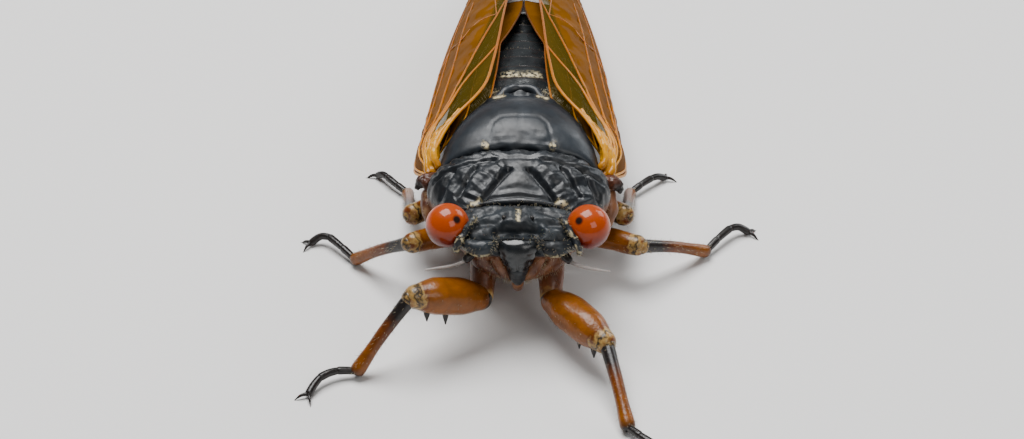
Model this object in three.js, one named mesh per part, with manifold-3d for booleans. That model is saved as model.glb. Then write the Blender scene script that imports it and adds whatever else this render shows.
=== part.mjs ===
// A life-size periodical cicada standing on a flat floor, millimetres, +Z up, facing -Y.
// The body is drawn in its own frame: y = 0 at the front of the face, y backwards, z = 0 at eye level.
// The whole animal is then pitched a few degrees so that the head rides higher than the tail.
import * as THREE from "three";
import { mergeVertices } from "three/addons/utils/BufferGeometryUtils.js";
import Module from "manifold-3d";

const wasm = await Module();
wasm.setup();

// Stance
const PITCH = THREE.MathUtils.degToRad(5.5);
const EYE_HEIGHT = 6.3;
const EYE_Y = 1.6;
const GAP = 0.3;

// Head and eyes
const EYE_RADIUS = 1.16;
const EYE_X = 3.65;
const HEAD_REAR = 2.75;
const FACE_RADIUS = { x: 1.15, y: 1.25, z: 1.3 };
const FACE_CENTRE = new THREE.Vector3(0, 1.3, -1.45);
const FACE_RIDGES = 7;

// Thorax and abdomen
const PRONOTUM_FRONT = HEAD_REAR + GAP;
const PRONOTUM_REAR = 6.5;
const THORAX_FRONT = PRONOTUM_REAR + GAP;
const THORAX_REAR = 14;
const ABDOMEN_FRONT = THORAX_REAR + GAP;
const ABDOMEN_TIP = 30.2;
const TERGITES = 8;
const RING_STEP = 0.16;

// Wings
const MEMBRANE = 0.5;
const VEIN_RISE = 0.2;
const VEIN_HALF_WIDTH = 0.2;
const FORE_BULGE = 1.45;
const FORE_SQUARE = 2.6;
const WING_LENGTH = 35;
const WING_DEPTH = 6;
const HIND_DROP = 1.15;
const HIND_SPAN = { from: 0.1, to: 0.6 };
const CLAVUS = { root: 0.42, end: 0.94, length: 0.5, bend: 1.8 };
// The hindwing's inner edge as (y, x, z), where it comes out from under the forewing to the midline
const HIND_EDGE = [
  [19, 1.45, 1.6], [20.4, 1.28, 1.45], [22.6, 0.78, 1.2], [24.8, 0.36, 1.0],
  [26.7, 0.18, 0.85], [29, 0.18, 0.5], [31, 0.3, 0.2],
];

// Colours seen on the animal, with roughness and metalness
const finish = (color, roughness, opacity = 1) =>
  new THREE.MeshStandardMaterial({ color, roughness, metalness: 0, opacity, transparent: opacity < 1 });
const BLACK = finish(0x14171b, 0.35);
const BROWN = finish(0x5a2c14, 0.45);
const ORANGE = finish(0xb86010, 0.35);
const EYE_RED = finish(0xd9400c, 0.12);
const AMBER = finish(0xb07818, 0.2, 0.6);
const HORN = finish(0x8a8480, 0.4);

const SIDES = { left: 1, right: -1 };
const clamp01 = (v) => Math.min(1, Math.max(0, v));
const smooth = (v) => clamp01(v) ** 2 * (3 - 2 * clamp01(v));
const mix = THREE.MathUtils.lerp;

// Height of the floor in the body frame, at a distance y behind the face.
const floorAt = (y) => ((y - EYE_Y) * Math.sin(PITCH) - EYE_HEIGHT) / Math.cos(PITCH);

// A point given over the floor (x, distance behind the eyes, height) as a point of the body frame.
function overFloor(x, behindEyes, height) {
  const rise = height - EYE_HEIGHT;
  return new THREE.Vector3(
    x,
    EYE_Y + behindEyes * Math.cos(PITCH) - rise * Math.sin(PITCH),
    behindEyes * Math.sin(PITCH) + rise * Math.cos(PITCH),
  );
}

// Solids and geometries

function geometryOf(positions, triangles) {
  return new THREE.BufferGeometry()
    .setAttribute("position", new THREE.Float32BufferAttribute(positions, 3))
    .setIndex(triangles);
}

function solidOf(geometry) {
  const bare = geometry.clone();
  bare.deleteAttribute("normal");
  bare.deleteAttribute("uv");
  const merged = mergeVertices(bare, 1e-4);
  return new wasm.Manifold(
    new wasm.Mesh({
      numProp: 3,
      vertProperties: merged.attributes.position.array,
      triVerts: new Uint32Array(merged.index.array),
    }),
  );
}

// Only the largest closed surface is kept, which drops loose scraps.
function largestOf(solid) {
  return solid.decompose().reduce((a, b) => (b.volume() > a.volume() ? b : a));
}

function meshOf(name, solid, material) {
  const made = largestOf(solid).getMesh();
  const positions = [];
  for (let i = 0; i < made.numVert; i++)
    positions.push(...made.vertProperties.subarray(i * made.numProp, i * made.numProp + 3));
  const mesh = new THREE.Mesh(geometryOf(positions, Array.from(made.triVerts)), material);
  mesh.geometry.computeVertexNormals();
  mesh.name = name;
  return mesh;
}

// Closed skin over rings of equal count, each end closed by a fan to its own centre.
function skin(rings) {
  const count = rings[0].length;
  const positions = rings.flat().flatMap((p) => [p.x, p.y, p.z]);
  const triangles = [];
  for (let r = 0; r + 1 < rings.length; r++)
    for (let k = 0; k < count; k++) {
      const a = r * count + k;
      const b = r * count + ((k + 1) % count);
      triangles.push(a, b, a + count, b, b + count, a + count);
    }
  const last = (rings.length - 1) * count;
  for (const [ring, start, flip] of [[rings[0], 0, true], [rings.at(-1), last, false]]) {
    const centre = ring.reduce((s, p) => s.add(p), new THREE.Vector3()).divideScalar(count);
    const hub = positions.length / 3;
    positions.push(centre.x, centre.y, centre.z);
    for (let k = 0; k < count; k++) {
      const a = start + k;
      const b = start + ((k + 1) % count);
      triangles.push(...(flip ? [hub, b, a] : [hub, a, b]));
    }
  }
  return faceOut(geometryOf(positions, triangles));
}

// Turns the faces of a closed geometry outwards.
function faceOut(geometry) {
  const p = geometry.attributes.position;
  const index = geometry.index.array;
  const [a, b, c] = [0, 1, 2].map(() => new THREE.Vector3());
  let volume = 0;
  for (let i = 0; i < index.length; i += 3) {
    a.fromBufferAttribute(p, index[i]);
    b.fromBufferAttribute(p, index[i + 1]);
    c.fromBufferAttribute(p, index[i + 2]);
    volume += a.dot(b.cross(c));
  }
  if (volume < 0)
    for (let i = 0; i < index.length; i += 3) [index[i], index[i + 1]] = [index[i + 1], index[i]];
  return geometry;
}

// Body shells: sections across the body, each {y, half, wide, top, bottom}, drawn through in between.
// half is the greatest half width, at height wide; top and bottom are the heights above and below it.
function sectionAt(stations, y) {
  const last = stations.length - 1;
  let k = stations.findIndex((s) => s.y > y) - 1;
  if (k < 0) k = y <= stations[0].y ? 0 : last - 1;
  const t = clamp01((y - stations[k].y) / (stations[k + 1].y - stations[k].y));
  const pick = (key) => {
    const at = (i) => stations[Math.min(last, Math.max(0, i))][key];
    const [p0, p1, p2, p3] = [at(k - 1), at(k), at(k + 1), at(k + 2)];
    const cubic = (3 * p1 - p0 - 3 * p2 + p3) * t ** 3;
    return 0.5 * (2 * p1 + (p2 - p0) * t + (2 * p0 - 5 * p1 + 4 * p2 - p3) * t * t + cubic);
  };
  return { half: pick("half"), wide: pick("wide"), top: pick("top"), bottom: pick("bottom") };
}

function shell(stations, ys, sides, { grow = 0, relief = () => 0, square = 2.2 } = {}) {
  const power = 2 / square;
  const rings = ys.map((y, row) => {
    const s = sectionAt(stations, y);
    const push = row === 0 ? -grow : row === ys.length - 1 ? grow : 0;
    return Array.from({ length: sides }, (_, k) => {
      const a = (2 * Math.PI * k) / sides;
      const across = Math.sign(Math.cos(a)) * Math.abs(Math.cos(a)) ** power;
      const up = Math.sign(Math.sin(a)) * Math.abs(Math.sin(a)) ** power;
      const x = across * (s.half + grow);
      const reach = up > 0 ? s.top - s.wide : s.wide - s.bottom;
      const z = s.wide + up * (reach + grow);
      return new THREE.Vector3(x, y + push, z + (up > 0 ? up * relief(x, y) : 0));
    });
  });
  return solidOf(skin(rings));
}

const spread = (from, to, steps) => Array.from({ length: steps + 1 }, (_, i) => mix(from, to, i / steps));

// Points given for the left side, on the side asked for.
const pointsOf = (places, side = 1) => places.map(([x, y, z]) => new THREE.Vector3(side * x, y, z));

// A groove or ridge along a straight line on the back, mirrored to both sides, seen from above.
function crease(x, y, from, to, halfWidth, depth) {
  const [ax, ay] = from;
  const [bx, by] = to;
  const px = Math.abs(x);
  const t = clamp01(((px - ax) * (bx - ax) + (y - ay) * (by - ay)) / ((bx - ax) ** 2 + (by - ay) ** 2));
  const away = Math.hypot(px - mix(ax, bx, t), y - mix(ay, by, t));
  return depth * (1 - smooth(away / halfWidth));
}

// Limbs: round bars that follow points, with rounded ends.
const UP = new THREE.Vector3(0, 0, 1);
function limb(points, radii, { sides = 8, steps = 8, up = UP, grow = 0 } = {}) {
  const curve = new THREE.CatmullRomCurve3(points, false, "centripetal");
  const rings = [];
  const ring = (centre, along, radius) => {
    const side = new THREE.Vector3().crossVectors(along, up).normalize();
    const lift = new THREE.Vector3().crossVectors(side, along).normalize();
    return Array.from({ length: sides }, (_, k) => {
      const a = (2 * Math.PI * k) / sides;
      return centre
        .clone()
        .addScaledVector(side, Math.cos(a) * radius)
        .addScaledVector(lift, Math.sin(a) * radius);
    });
  };
  const radiusAt = (t) => {
    const at = t * (radii.length - 1);
    const k = Math.min(radii.length - 2, Math.floor(at));
    return mix(radii[k], radii[k + 1], smooth(at - k)) + grow;
  };
  for (let i = 0; i <= steps; i++) {
    const t = i / steps;
    const along = curve.getTangentAt(t);
    const centre = curve.getPointAt(t);
    const radius = radiusAt(t);
    const cap = (radius - grow) * 0.45 + grow;
    if (i === 0) rings.push(ring(centre.clone().addScaledVector(along, -cap), along, radius * 0.6));
    rings.push(ring(centre, along, radius));
    if (i === steps) rings.push(ring(centre.clone().addScaledVector(along, cap), along, radius * 0.6));
  }
  return solidOf(skin(rings));
}

// Cuts a solid flat where it would reach below the floor.
function onFloor(solid) {
  const size = 200;
  const block = new THREE.BoxGeometry(size, size, size);
  block.applyMatrix4(new THREE.Matrix4().makeTranslation(0, 0, -size / 2));
  const foot = overFloor(0, 0, 0);
  block.applyMatrix4(new THREE.Matrix4().makeRotationX(PITCH));
  block.applyMatrix4(new THREE.Matrix4().makeTranslation(foot.x, foot.y, foot.z));
  return solid.subtract(solidOf(block));
}

// A ball with three radii. shape scales each point from the centre, and taper its width by its height.
function ellipsoid(centre, radius, turns, rows, shape = () => 1, taper = () => 1) {
  const ball = new THREE.SphereGeometry(1, turns, rows);
  const p = ball.attributes.position;
  for (let i = 0; i < p.count; i++) {
    const [x, y, z] = [p.getX(i), p.getZ(i), p.getY(i)];
    const s = shape(x, y, z);
    const wide = s * taper(z);
    p.setXYZ(i, centre.x + x * radius.x * wide, centre.y + y * radius.y * s, centre.z + z * radius.z * s);
  }
  ball.deleteAttribute("normal");
  ball.deleteAttribute("uv");
  return solidOf(faceOut(mergeVertices(ball, 1e-4)));
}

// Head

const HEAD = [
  { y: 0.5, half: 2.1, wide: -0.5, top: -0.1, bottom: -1.2 },
  { y: 0.95, half: 2.85, wide: -0.5, top: 0.3, bottom: -1.75 },
  { y: 1.6, half: 3.35, wide: -0.5, top: 0.55, bottom: -2.2 },
  { y: HEAD_REAR, half: 3.5, wide: -0.6, top: 0.62, bottom: -2.5 },
];
const grownBy = (radius, grow) => ({ x: radius.x + grow, y: radius.y + grow, z: radius.z + grow });
const eyeCentre = (side) => new THREE.Vector3(side * EYE_X, EYE_Y, 0);
const eyeBall = (side, grow = 0) => {
  const r = EYE_RADIUS + grow;
  return ellipsoid(eyeCentre(side), { x: r, y: r, z: r }, 16, 12);
};

function head(grow = 0) {
  const relief = (x, y) =>
    crease(x, y, [0, 1.3], [0, 2.7], 0.22, -0.12) +
    crease(x, y, [0.75, 1.9], [0.75, 2.0], 0.22, 0.14) +
    crease(x, y, [0.9, 1.1], [1.9, 1.7], 0.35, -0.2);
  const skullShape = { grow, relief: grow ? undefined : relief, square: 2.6 };
  const skull = shell(HEAD, spread(0.5, HEAD_REAR, 6), 32, skullShape);
  const rib = (x, y, z) => 1 - 0.035 * Math.cos(z * FACE_RIDGES * 2) * smooth(Math.abs(x) * 2.2);
  const taper = (z) => mix(1.12, 0.42, smooth((0.75 - z) / 1.7));
  const face = ellipsoid(FACE_CENTRE, grownBy(FACE_RADIUS, grow), 16, 18, rib, taper);
  const brow = (side) => {
    const line = pointsOf([[1.05, 0.5, -0.4], [1.75, 0.2, -0.5], [2.5, 0.65, -0.55]], side);
    return limb(line, [0.3, 0.42, 0.3], { sides: 8, steps: 4, grow });
  };
  const jaw = limb(pointsOf([[0, 1.5, -1.9], [0, 1.4, -2.7], [0, 1.5, -3.2]]), [1.15, 0.75, 0.42], {
    sides: 12, steps: 5, up: new THREE.Vector3(0, 1, 0), grow,
  });
  const cheek = (side) => {
    const line = pointsOf([[1.9, 1.7, -1.7], [1.2, 1.6, -2.4], [0.5, 1.6, -3.0]], side);
    return limb(line, [0.55, 0.5, 0.3], { sides: 8, steps: 4, grow });
  };
  const whole = [skull, face, brow(1), brow(-1), jaw, cheek(1), cheek(-1)].reduce((a, b) => a.add(b));
  return grow ? whole : whole.subtract(eyeBall(1, GAP)).subtract(eyeBall(-1, GAP));
}

function antennaPoints(side, reach) {
  const root = new THREE.Vector3(side * 2.55, 0.55, -1.15 - GAP);
  const drop = [[0, 0, 0], [0.45, -0.45, -0.2], [1.2, -0.55, -0.3], [reach, -0.5, -0.3]];
  return drop.map(([x, y, z]) => root.clone().add(new THREE.Vector3(side * x, y, z)));
}

function antenna(side) {
  return limb(antennaPoints(side, 2.15), [0.3, 0.25, 0.2, 0.08], { sides: 6, steps: 7 });
}

function rostrum() {
  const line = pointsOf([[0, 1.5, -3.7 - GAP], [0, 2.4, -4.1], [0, 4.1, -4.55], [0, 5.7, -4.85]]);
  return limb(line, [0.34, 0.3, 0.27, 0.12], { sides: 8, steps: 8 });
}

// Prothorax

const PRONOTUM = [
  { y: PRONOTUM_FRONT, half: 3.3, wide: -0.7, top: 0.66, bottom: -2.7 },
  { y: 4.0, half: 3.95, wide: -0.7, top: 1.1, bottom: -3.0 },
  { y: 5.0, half: 4.5, wide: -0.6, top: 1.55, bottom: -3.3 },
  { y: 5.9, half: 4.9, wide: -0.5, top: 1.85, bottom: -3.5 },
  { y: PRONOTUM_REAR, half: 4.75, wide: -0.4, top: 1.9, bottom: -3.5 },
];
function pronotumRelief(x, y) {
  return (
    crease(x, y, [0.52, 4.93], [1.8, 3.4], 0.36, -0.28) +
    crease(x, y, [2.2, 5.4], [3.1, 4.1], 0.36, -0.26) +
    crease(x, y, [0, 5.75], [4.3, 5.5], 0.25, -0.16) +
    crease(x, y, [0, 3.4], [1.6, 3.25], 0.25, -0.14) +
    crease(x, y, [1.4, 4.8], [2.0, 4.3], 0.5, 0.1)
  );
}
const pronotum = (grow = 0) => {
  const relief = grow ? undefined : pronotumRelief;
  return shell(PRONOTUM, spread(PRONOTUM_FRONT, PRONOTUM_REAR, 10), 42, { grow, relief });
};

// Mesothorax with its shield and the raised cross behind it

const THORAX = [
  { y: THORAX_FRONT, half: 4.3, wide: -0.2, top: 1.95, bottom: -3.8 },
  { y: 7.8, half: 4.3, wide: -0.1, top: 2.6, bottom: -4.1 },
  { y: 9.2, half: 4.05, wide: -0.2, top: 2.9, bottom: -4.2 },
  { y: 10.8, half: 3.65, wide: -0.4, top: 2.7, bottom: -4.0 },
  { y: 12.1, half: 3.3, wide: -0.6, top: 2.2, bottom: -3.7 },
  { y: 13.1, half: 3.05, wide: -0.75, top: 2.0, bottom: -3.6 },
  { y: THORAX_REAR, half: 2.85, wide: -0.85, top: 1.8, bottom: -3.5 },
];
function thoraxRelief(x, y) {
  return (
    crease(x, y, [0, 13.3], [0.3, 13.6], 0.75, 0.42) +
    crease(x, y, [0.5, 13.2], [1.75, 12.15], 0.4, 0.28) +
    crease(x, y, [0, 12.45], [0.3, 12.55], 0.45, -0.3) +
    crease(x, y, [1.75, 7.1], [1.4, 8.5], 0.25, -0.12)
  );
}
const thorax = (grow = 0) => {
  const relief = grow ? undefined : thoraxRelief;
  return shell(THORAX, spread(THORAX_FRONT, THORAX_REAR, 15), 38, { grow, relief });
};

// The knob and plate in front of each forewing's root
function shoulder(side, grow = 0) {
  const line = pointsOf([[4.0, 7.15, -0.9], [4.75, 6.95, -0.45], [5.25, 6.9, -0.35]], side);
  const bar = limb(line, [0.55, 0.5, 0.34], { sides: 8, steps: 4, grow });
  return grow ? bar : bar.subtract(pronotum(GAP));
}

const thoraxWhole = (grow = 0) => thorax(grow).add(shoulder(1, grow)).add(shoulder(-1, grow));

// Abdomen

const ABDOMEN = [
  { y: ABDOMEN_FRONT, half: 2.95, wide: -0.95, top: 1.35, bottom: -3.5 },
  { y: 16.2, half: 3.15, wide: -1.0, top: 1.45, bottom: -3.65 },
  { y: 19.0, half: 3.0, wide: -1.1, top: 1.2, bottom: -3.6 },
  { y: 22.5, half: 2.5, wide: -1.2, top: 0.6, bottom: -3.3 },
  { y: 25.5, half: 2.0, wide: -1.2, top: 0.2, bottom: -2.9 },
  { y: 27.4, half: 1.5, wide: -1.2, top: 0.05, bottom: -2.55 },
  { y: 29.0, half: 0.95, wide: -1.2, top: -0.15, bottom: -2.3 },
  { y: ABDOMEN_TIP, half: 0.45, wide: -1.3, top: -0.45, bottom: -2.0 },
];
function abdomen() {
  const ys = [];
  const edges = spread(ABDOMEN_FRONT, 27.2, TERGITES);
  edges.slice(0, -1).forEach((y, i) => ys.push(y + 0.02, mix(y, edges[i + 1], 0.5), edges[i + 1] - 0.14));
  ys[0] = ABDOMEN_FRONT;
  ys.push(28.0, 29.2, ABDOMEN_TIP);
  const ringAt = (y) => edges.findIndex((e) => e > y) - 1;
  const sawtooth = (y) => {
    const k = ringAt(y);
    return k < 0 ? 0 : RING_STEP * ((y - edges[k]) / (edges[k + 1] - edges[k]) - 0.6);
  };
  const stepped = ys.map((y) => {
    const s = sectionAt(ABDOMEN, y);
    const g = sawtooth(y);
    return { y, half: s.half + g, wide: s.wide, top: s.top + g, bottom: s.bottom - g };
  });
  return shell(stepped, ys, 28, { square: 2.1 });
}

// The body grown by the gap, which the roots of wings and legs are cut against.
const NEIGHBOURS = {
  head: head(GAP),
  pronotum: pronotum(GAP),
  thorax: thorax(GAP),
  abdomen: shell(ABDOMEN, spread(ABDOMEN_FRONT, ABDOMEN_TIP, 13), 28, { grow: GAP + RING_STEP / 2 }),
};

// Wings: a curved membrane between a front margin and an inner margin, veins raised in its own surface.

const margin = (places) => new THREE.CatmullRomCurve3(pointsOf(places), false, "centripetal");
const FORE_FRONT = margin([
  [4.95, 7.5, -0.35], [5.7, 9.6, -1.35], [5.8, 13, -2.5], [5.25, 18, -3.15], [4.45, 24, -3.3],
  [3.6, 30, -2.95], [2.95, 35, -2.7], [2.3, 39.3, -2.55], [1.75, 41.6, -2.4], [1.35, 42.4, -2.15],
]);
const FORE_INNER = margin([
  [4.6, 7.8, 0.9], [3.95, 9.0, 1.8], [3.2, 10.0, 2.35], [2.6, 10.8, 2.6], [1.95, 12.3, 2.8],
  [1.57, 15.3, 2.8], [1.36, 18, 2.7], [1.19, 21.2, 2.5], [1.0, 24.5, 2.2], [0.8, 27.5, 1.8],
  [0.55, 31, 1.35], [0.5, 34, 0.85], [0.5, 37.5, 0.1], [0.55, 40.2, -0.75], [0.9, 42.1, -1.8],
]);

// The forewing's mid surface: s runs from root to tip, t from the front margin to the inner margin.
function wingSurface(s, t) {
  const a = FORE_FRONT.getPointAt(clamp01(s));
  const b = FORE_INNER.getPointAt(clamp01(s));
  const chord = b.clone().sub(a);
  const out = new THREE.Vector3(chord.z, 0, -chord.x).normalize();
  const swell = FORE_BULGE * Math.sin(Math.PI * clamp01(s * 1.02)) ** 0.6;
  return a.lerp(b, t).addScaledVector(out, swell * (1 - Math.abs(2 * t - 1) ** FORE_SQUARE));
}

function wingNormal(s, t) {
  const e = 0.004;
  const ds = wingSurface(s + e, t).sub(wingSurface(s - e, t));
  const dt = wingSurface(s, t + e).sub(wingSurface(s, t - e));
  return new THREE.Vector3().crossVectors(ds, dt).normalize();
}

// A panel of wing over a patch of that surface, let down below it by drop, with veins raised on it.
function wing({ side, veins, crossings, rows, drop, patch, bend = (p) => p }) {
  const length = patch(1, 0)[0] - patch(0, 0)[0];
  const half = VEIN_HALF_WIDTH / WING_DEPTH;
  const thin = VEIN_HALF_WIDTH / (WING_LENGTH * length);
  const across = [0];
  veins.slice(1).forEach((t, i) => {
    const inner = veins[i] + half * (i ? 1 : 2);
    const outer = t - half * (t < 1 ? 1 : 2);
    across.push(inner);
    if (outer - inner > 6 * half) across.push(mix(inner, outer, 0.5));
    across.push(outer, t);
  });
  const near = (s) => crossings.some((c) => Math.abs(c - s) < 2.5 * thin);
  const along = spread(0, 1, rows).filter((s) => !near(s));
  crossings.forEach((c) => along.push(c - thin, c, c + thin));
  along.sort((a, b) => a - b);
  const positions = [];
  for (const face of [1, -1])
    for (const s of along)
      for (const t of across) {
        const raised = veins.includes(t) || crossings.includes(s);
        const rise = raised ? VEIN_RISE * (face > 0 ? 1 : 0.4) : 0;
        const [u, v] = patch(s, t);
        const h = (MEMBRANE / 2 + rise) * mix(1, 0.6, smooth((s - 0.85) / 0.15));
        const p = bend(wingSurface(u, v).addScaledVector(wingNormal(u, v), face * h - drop), s, t);
        positions.push(side * p.x, p.y, Math.max(p.z, floorAt(p.y)));
      }
  const [m, n] = [along.length, across.length];
  const at = (face, i, j) => face * m * n + i * n + j;
  const triangles = [];
  const quad = (a, b, c, d) => triangles.push(a, b, c, a, c, d);
  for (let i = 0; i + 1 < m; i++)
    for (let j = 0; j + 1 < n; j++) {
      quad(at(0, i, j), at(0, i + 1, j), at(0, i + 1, j + 1), at(0, i, j + 1));
      triangles.push(at(1, i, j), at(1, i + 1, j + 1), at(1, i + 1, j));
      triangles.push(at(1, i, j), at(1, i, j + 1), at(1, i + 1, j + 1));
    }
  for (let i = 0; i + 1 < m; i++) {
    quad(at(0, i, 0), at(1, i, 0), at(1, i + 1, 0), at(0, i + 1, 0));
    quad(at(0, i, n - 1), at(0, i + 1, n - 1), at(1, i + 1, n - 1), at(1, i, n - 1));
  }
  for (let j = 0; j + 1 < n; j++) {
    quad(at(0, 0, j), at(0, 0, j + 1), at(1, 0, j + 1), at(1, 0, j));
    quad(at(0, m - 1, j), at(1, m - 1, j), at(1, m - 1, j + 1), at(0, m - 1, j + 1));
  }
  return solidOf(faceOut(geometryOf(positions, triangles)));
}

// The long vein before the clavus runs from the root to the inner margin, and the others keep their share.
function forePatch(s, t) {
  const open = Math.max(0, 1 - s / CLAVUS.length) ** CLAVUS.bend;
  const edge = CLAVUS.end - (CLAVUS.end - CLAVUS.root) * open;
  return [s, t < 0.83 ? (t / 0.83) * edge : mix(edge, 1, (t - 0.83) / 0.17)];
}

const forewing = (side) =>
  wing({
    side, drop: 0, rows: 11, patch: forePatch,
    veins: [0, 0.13, 0.3, 0.47, 0.64, 0.83, 1],
    crossings: [0.14, 0.4, 0.62, 0.8, 0.965],
  })
    .subtract(NEIGHBOURS.thorax)
    .subtract(shoulder(side, GAP));

// The hindwing's inner part is drawn out to the edge that shows over the tail.
function lobe(p, s, t) {
  const pull = smooth((t - 0.45) / 0.55) * smooth((p.y - 19) / 2.5);
  const k = Math.max(0, Math.min(HIND_EDGE.length - 2, HIND_EDGE.findIndex((e) => e[0] > p.y) - 1));
  const [a, b] = [HIND_EDGE[k], HIND_EDGE[k + 1]];
  const share = clamp01((p.y - a[0]) / (b[0] - a[0]));
  p.x = mix(p.x, mix(a[1], b[1], share) + (1 - t) * 1.2, pull);
  const height = mix(a[2], b[2], share);
  p.z = mix(p.z, height + Math.min(0, p.z - height) * (1 - t), pull);
  return p;
}

// The hindwing is folded under the forewing, and its inner lobe shows between the two forewings.
const hindwing = (side) =>
  wing({
    side, drop: HIND_DROP, rows: 8, bend: lobe,
    patch: (s, t) => [
      mix(HIND_SPAN.from, HIND_SPAN.to, s),
      mix(mix(0.12, 0.62, s ** 2.2), mix(0.97, 0.9, s ** 4), t),
    ],
    veins: [0, 0.35, 0.7, 1],
    crossings: [0.55],
  })
    .subtract(NEIGHBOURS.thorax)
    .subtract(NEIGHBOURS.abdomen);

// Legs: joints over the floor as (x, distance behind the eyes, height), coxa root first.

const LEGS = {
  fore: {
    radii: {
      coxa: [0.78, 0.72, 0.6], femur: [0.6, 1.0, 0.98, 0.62],
      tibia: [0.4, 0.36, 0.34, 0.42], tarsus: [0.3, 0.27, 0.27, 0.25],
    },
    left: {
      joints: [[1.75, 1.6, 4.4], [1.75, -1.0, 2.35], [4.6, -4.7, 2.3], [5.64, -8.97, 0.42]],
      toes: [[5.64, -8.97, 0.42], [6.3, -9.8, 0.5], [7.1, -10.6, 0.45], [7.5, -11.2, 0.22]],
    },
    right: {
      joints: [[-1.75, 1.6, 4.4], [-1.85, -1.2, 2.5], [-5.44, -3.18, 4.04], [-8.24, -4.77, 0.42]],
      toes: [[-8.24, -4.77, 0.42], [-9.2, -4.9, 0.55], [-10.1, -5.5, 0.55], [-10.6, -6.4, 0.22]],
    },
  },
  mid: {
    radii: {
      coxa: [0.8, 0.7, 0.5], femur: [0.5, 0.62, 0.6, 0.58],
      tibia: [0.4, 0.34, 0.33, 0.38], tarsus: [0.28, 0.27, 0.27, 0.25],
    },
    left: {
      joints: [[2.0, 6.4, 3.2], [3.0, 5.4, 2.0], [6.54, 3.54, 2.5], [10.33, 5.99, 0.4]],
      toes: [[10.33, 5.99, 0.4], [11.1, 7.0, 0.6], [12.1, 8.1, 0.6], [12.8, 8.1, 0.22]],
    },
    right: {
      joints: [[-2.0, 6.2, 3.2], [-3.0, 5.0, 2.1], [-5.8, 2.53, 3.3], [-9.03, 4.94, 0.4]],
      toes: [[-9.03, 4.94, 0.4], [-9.9, 5.9, 0.6], [-10.9, 6.9, 0.6], [-11.6, 6.7, 0.22]],
    },
  },
  hind: {
    radii: {
      coxa: [0.8, 0.7, 0.5], femur: [0.5, 0.6, 0.58, 0.6],
      tibia: [0.4, 0.34, 0.32, 0.36], tarsus: [0.28, 0.26, 0.26, 0.25],
    },
    left: {
      joints: [[2.0, 10.0, 3.0], [2.9, 9.2, 1.9], [5.8, 5.21, 3.3], [6.27, 11.54, 0.4]],
      toes: [[6.27, 11.54, 0.4], [7.0, 12.3, 0.55], [7.8, 13.1, 0.5], [8.3, 13.4, 0.22]],
    },
    right: {
      joints: [[-2.0, 9.8, 3.0], [-2.9, 9.0, 1.9], [-5.9, 5.04, 3.35], [-6.45, 11.34, 0.4]],
      toes: [[-6.45, 11.34, 0.4], [-7.3, 12.2, 0.55], [-8.0, 13.1, 0.5], [-8.3, 13.4, 0.22]],
    },
  },
};
const CLAW = { length: 0.55, spread: 0.28, radius: 0.16 };
const SPINE_LENGTH = 0.95;

function spine(root, direction, length, radius) {
  const tip = root.clone().addScaledVector(direction, length);
  const radii = [radius, radius * 0.6, radius * 0.16];
  return limb([root, root.clone().lerp(tip, 0.5), tip], radii, { sides: 5, steps: 2 });
}

// Two black spines under the swollen fore femur, pointing down and forwards.
function femurSpines(hip, knee) {
  const down = new THREE.Vector3(0, -0.35, -0.94);
  return [0.52, 0.78].map((t, i) => {
    const root = hip.clone().lerp(knee, t).addScaledVector(down, 0.45);
    return spine(root, down, SPINE_LENGTH - i * 0.15, 0.34);
  });
}

function legSolids(kind, sideName) {
  const { radii } = LEGS[kind];
  const { joints, toes } = LEGS[kind][sideName];
  const [root, hip, knee, ankle] = joints.map((p) => overFloor(...p));
  const toePoints = toes.map((p) => overFloor(...p));
  const bow = (a, b, lift) => a.clone().lerp(b, 0.5).add(new THREE.Vector3(0, 0, lift));
  const bar = (a, b, lift, widths, sides, steps) => (grow) =>
    limb([a, bow(a, b, lift), b], widths, { sides, steps, grow });
  const coxaBar = bar(root, hip, -0.05, radii.coxa, 10, 4);
  const femurBar = bar(hip, knee, 0.1, radii.femur, 9, 7);
  const tibiaBar = bar(knee, ankle, 0.12, radii.tibia, 7, 6);
  const clear = (solid) =>
    solid.subtract(NEIGHBOURS.head).subtract(NEIGHBOURS.pronotum).subtract(NEIGHBOURS.thorax);
  const coxa = clear(coxaBar(0));
  let femur = femurBar(0);
  if (kind === "fore") for (const s of femurSpines(hip, knee)) femur = femur.add(s);
  femur = clear(femur).subtract(coxaBar(GAP));
  const tibia = tibiaBar(0).subtract(femurBar(GAP));
  const end = toePoints.at(-1);
  const heading = end.clone().sub(toePoints.at(-2)).normalize();
  const aside = new THREE.Vector3(-heading.y, heading.x, 0).normalize();
  let tarsus = limb(toePoints, radii.tarsus, { sides: 7, steps: 7 });
  for (const way of [1, -1]) {
    const point = heading.clone().addScaledVector(aside, way * 0.8).normalize();
    tarsus = tarsus.add(spine(end, point, CLAW.length + CLAW.spread, CLAW.radius));
  }
  tarsus = tarsus.subtract(tibiaBar(GAP));
  return { coxa, femur, tibia: onFloor(tibia), tarsus: onFloor(tarsus) };
}

// Assembly

const cicada = new THREE.Group();
cicada.add(
  meshOf("head", head(), BLACK),
  meshOf("rostrum", rostrum(), BROWN),
  meshOf("pronotum", pronotum(), BLACK),
  meshOf("mesothorax", thoraxWhole(), BLACK),
  meshOf("abdomen", abdomen(), BLACK),
);
for (const [name, side] of Object.entries(SIDES)) {
  cicada.add(
    meshOf("eye_" + name, eyeBall(side), EYE_RED),
    meshOf("antenna_" + name, antenna(side), HORN),
    meshOf("forewing_" + name, forewing(side), AMBER),
    meshOf("hindwing_" + name, hindwing(side), AMBER),
  );
  for (const kind of Object.keys(LEGS)) {
    const segments = legSolids(kind, name);
    for (const [segment, solid] of Object.entries(segments))
      cicada.add(meshOf(`${kind}_${segment}_${name}`, solid, segment === "tarsus" ? BLACK : ORANGE));
  }
}

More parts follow.
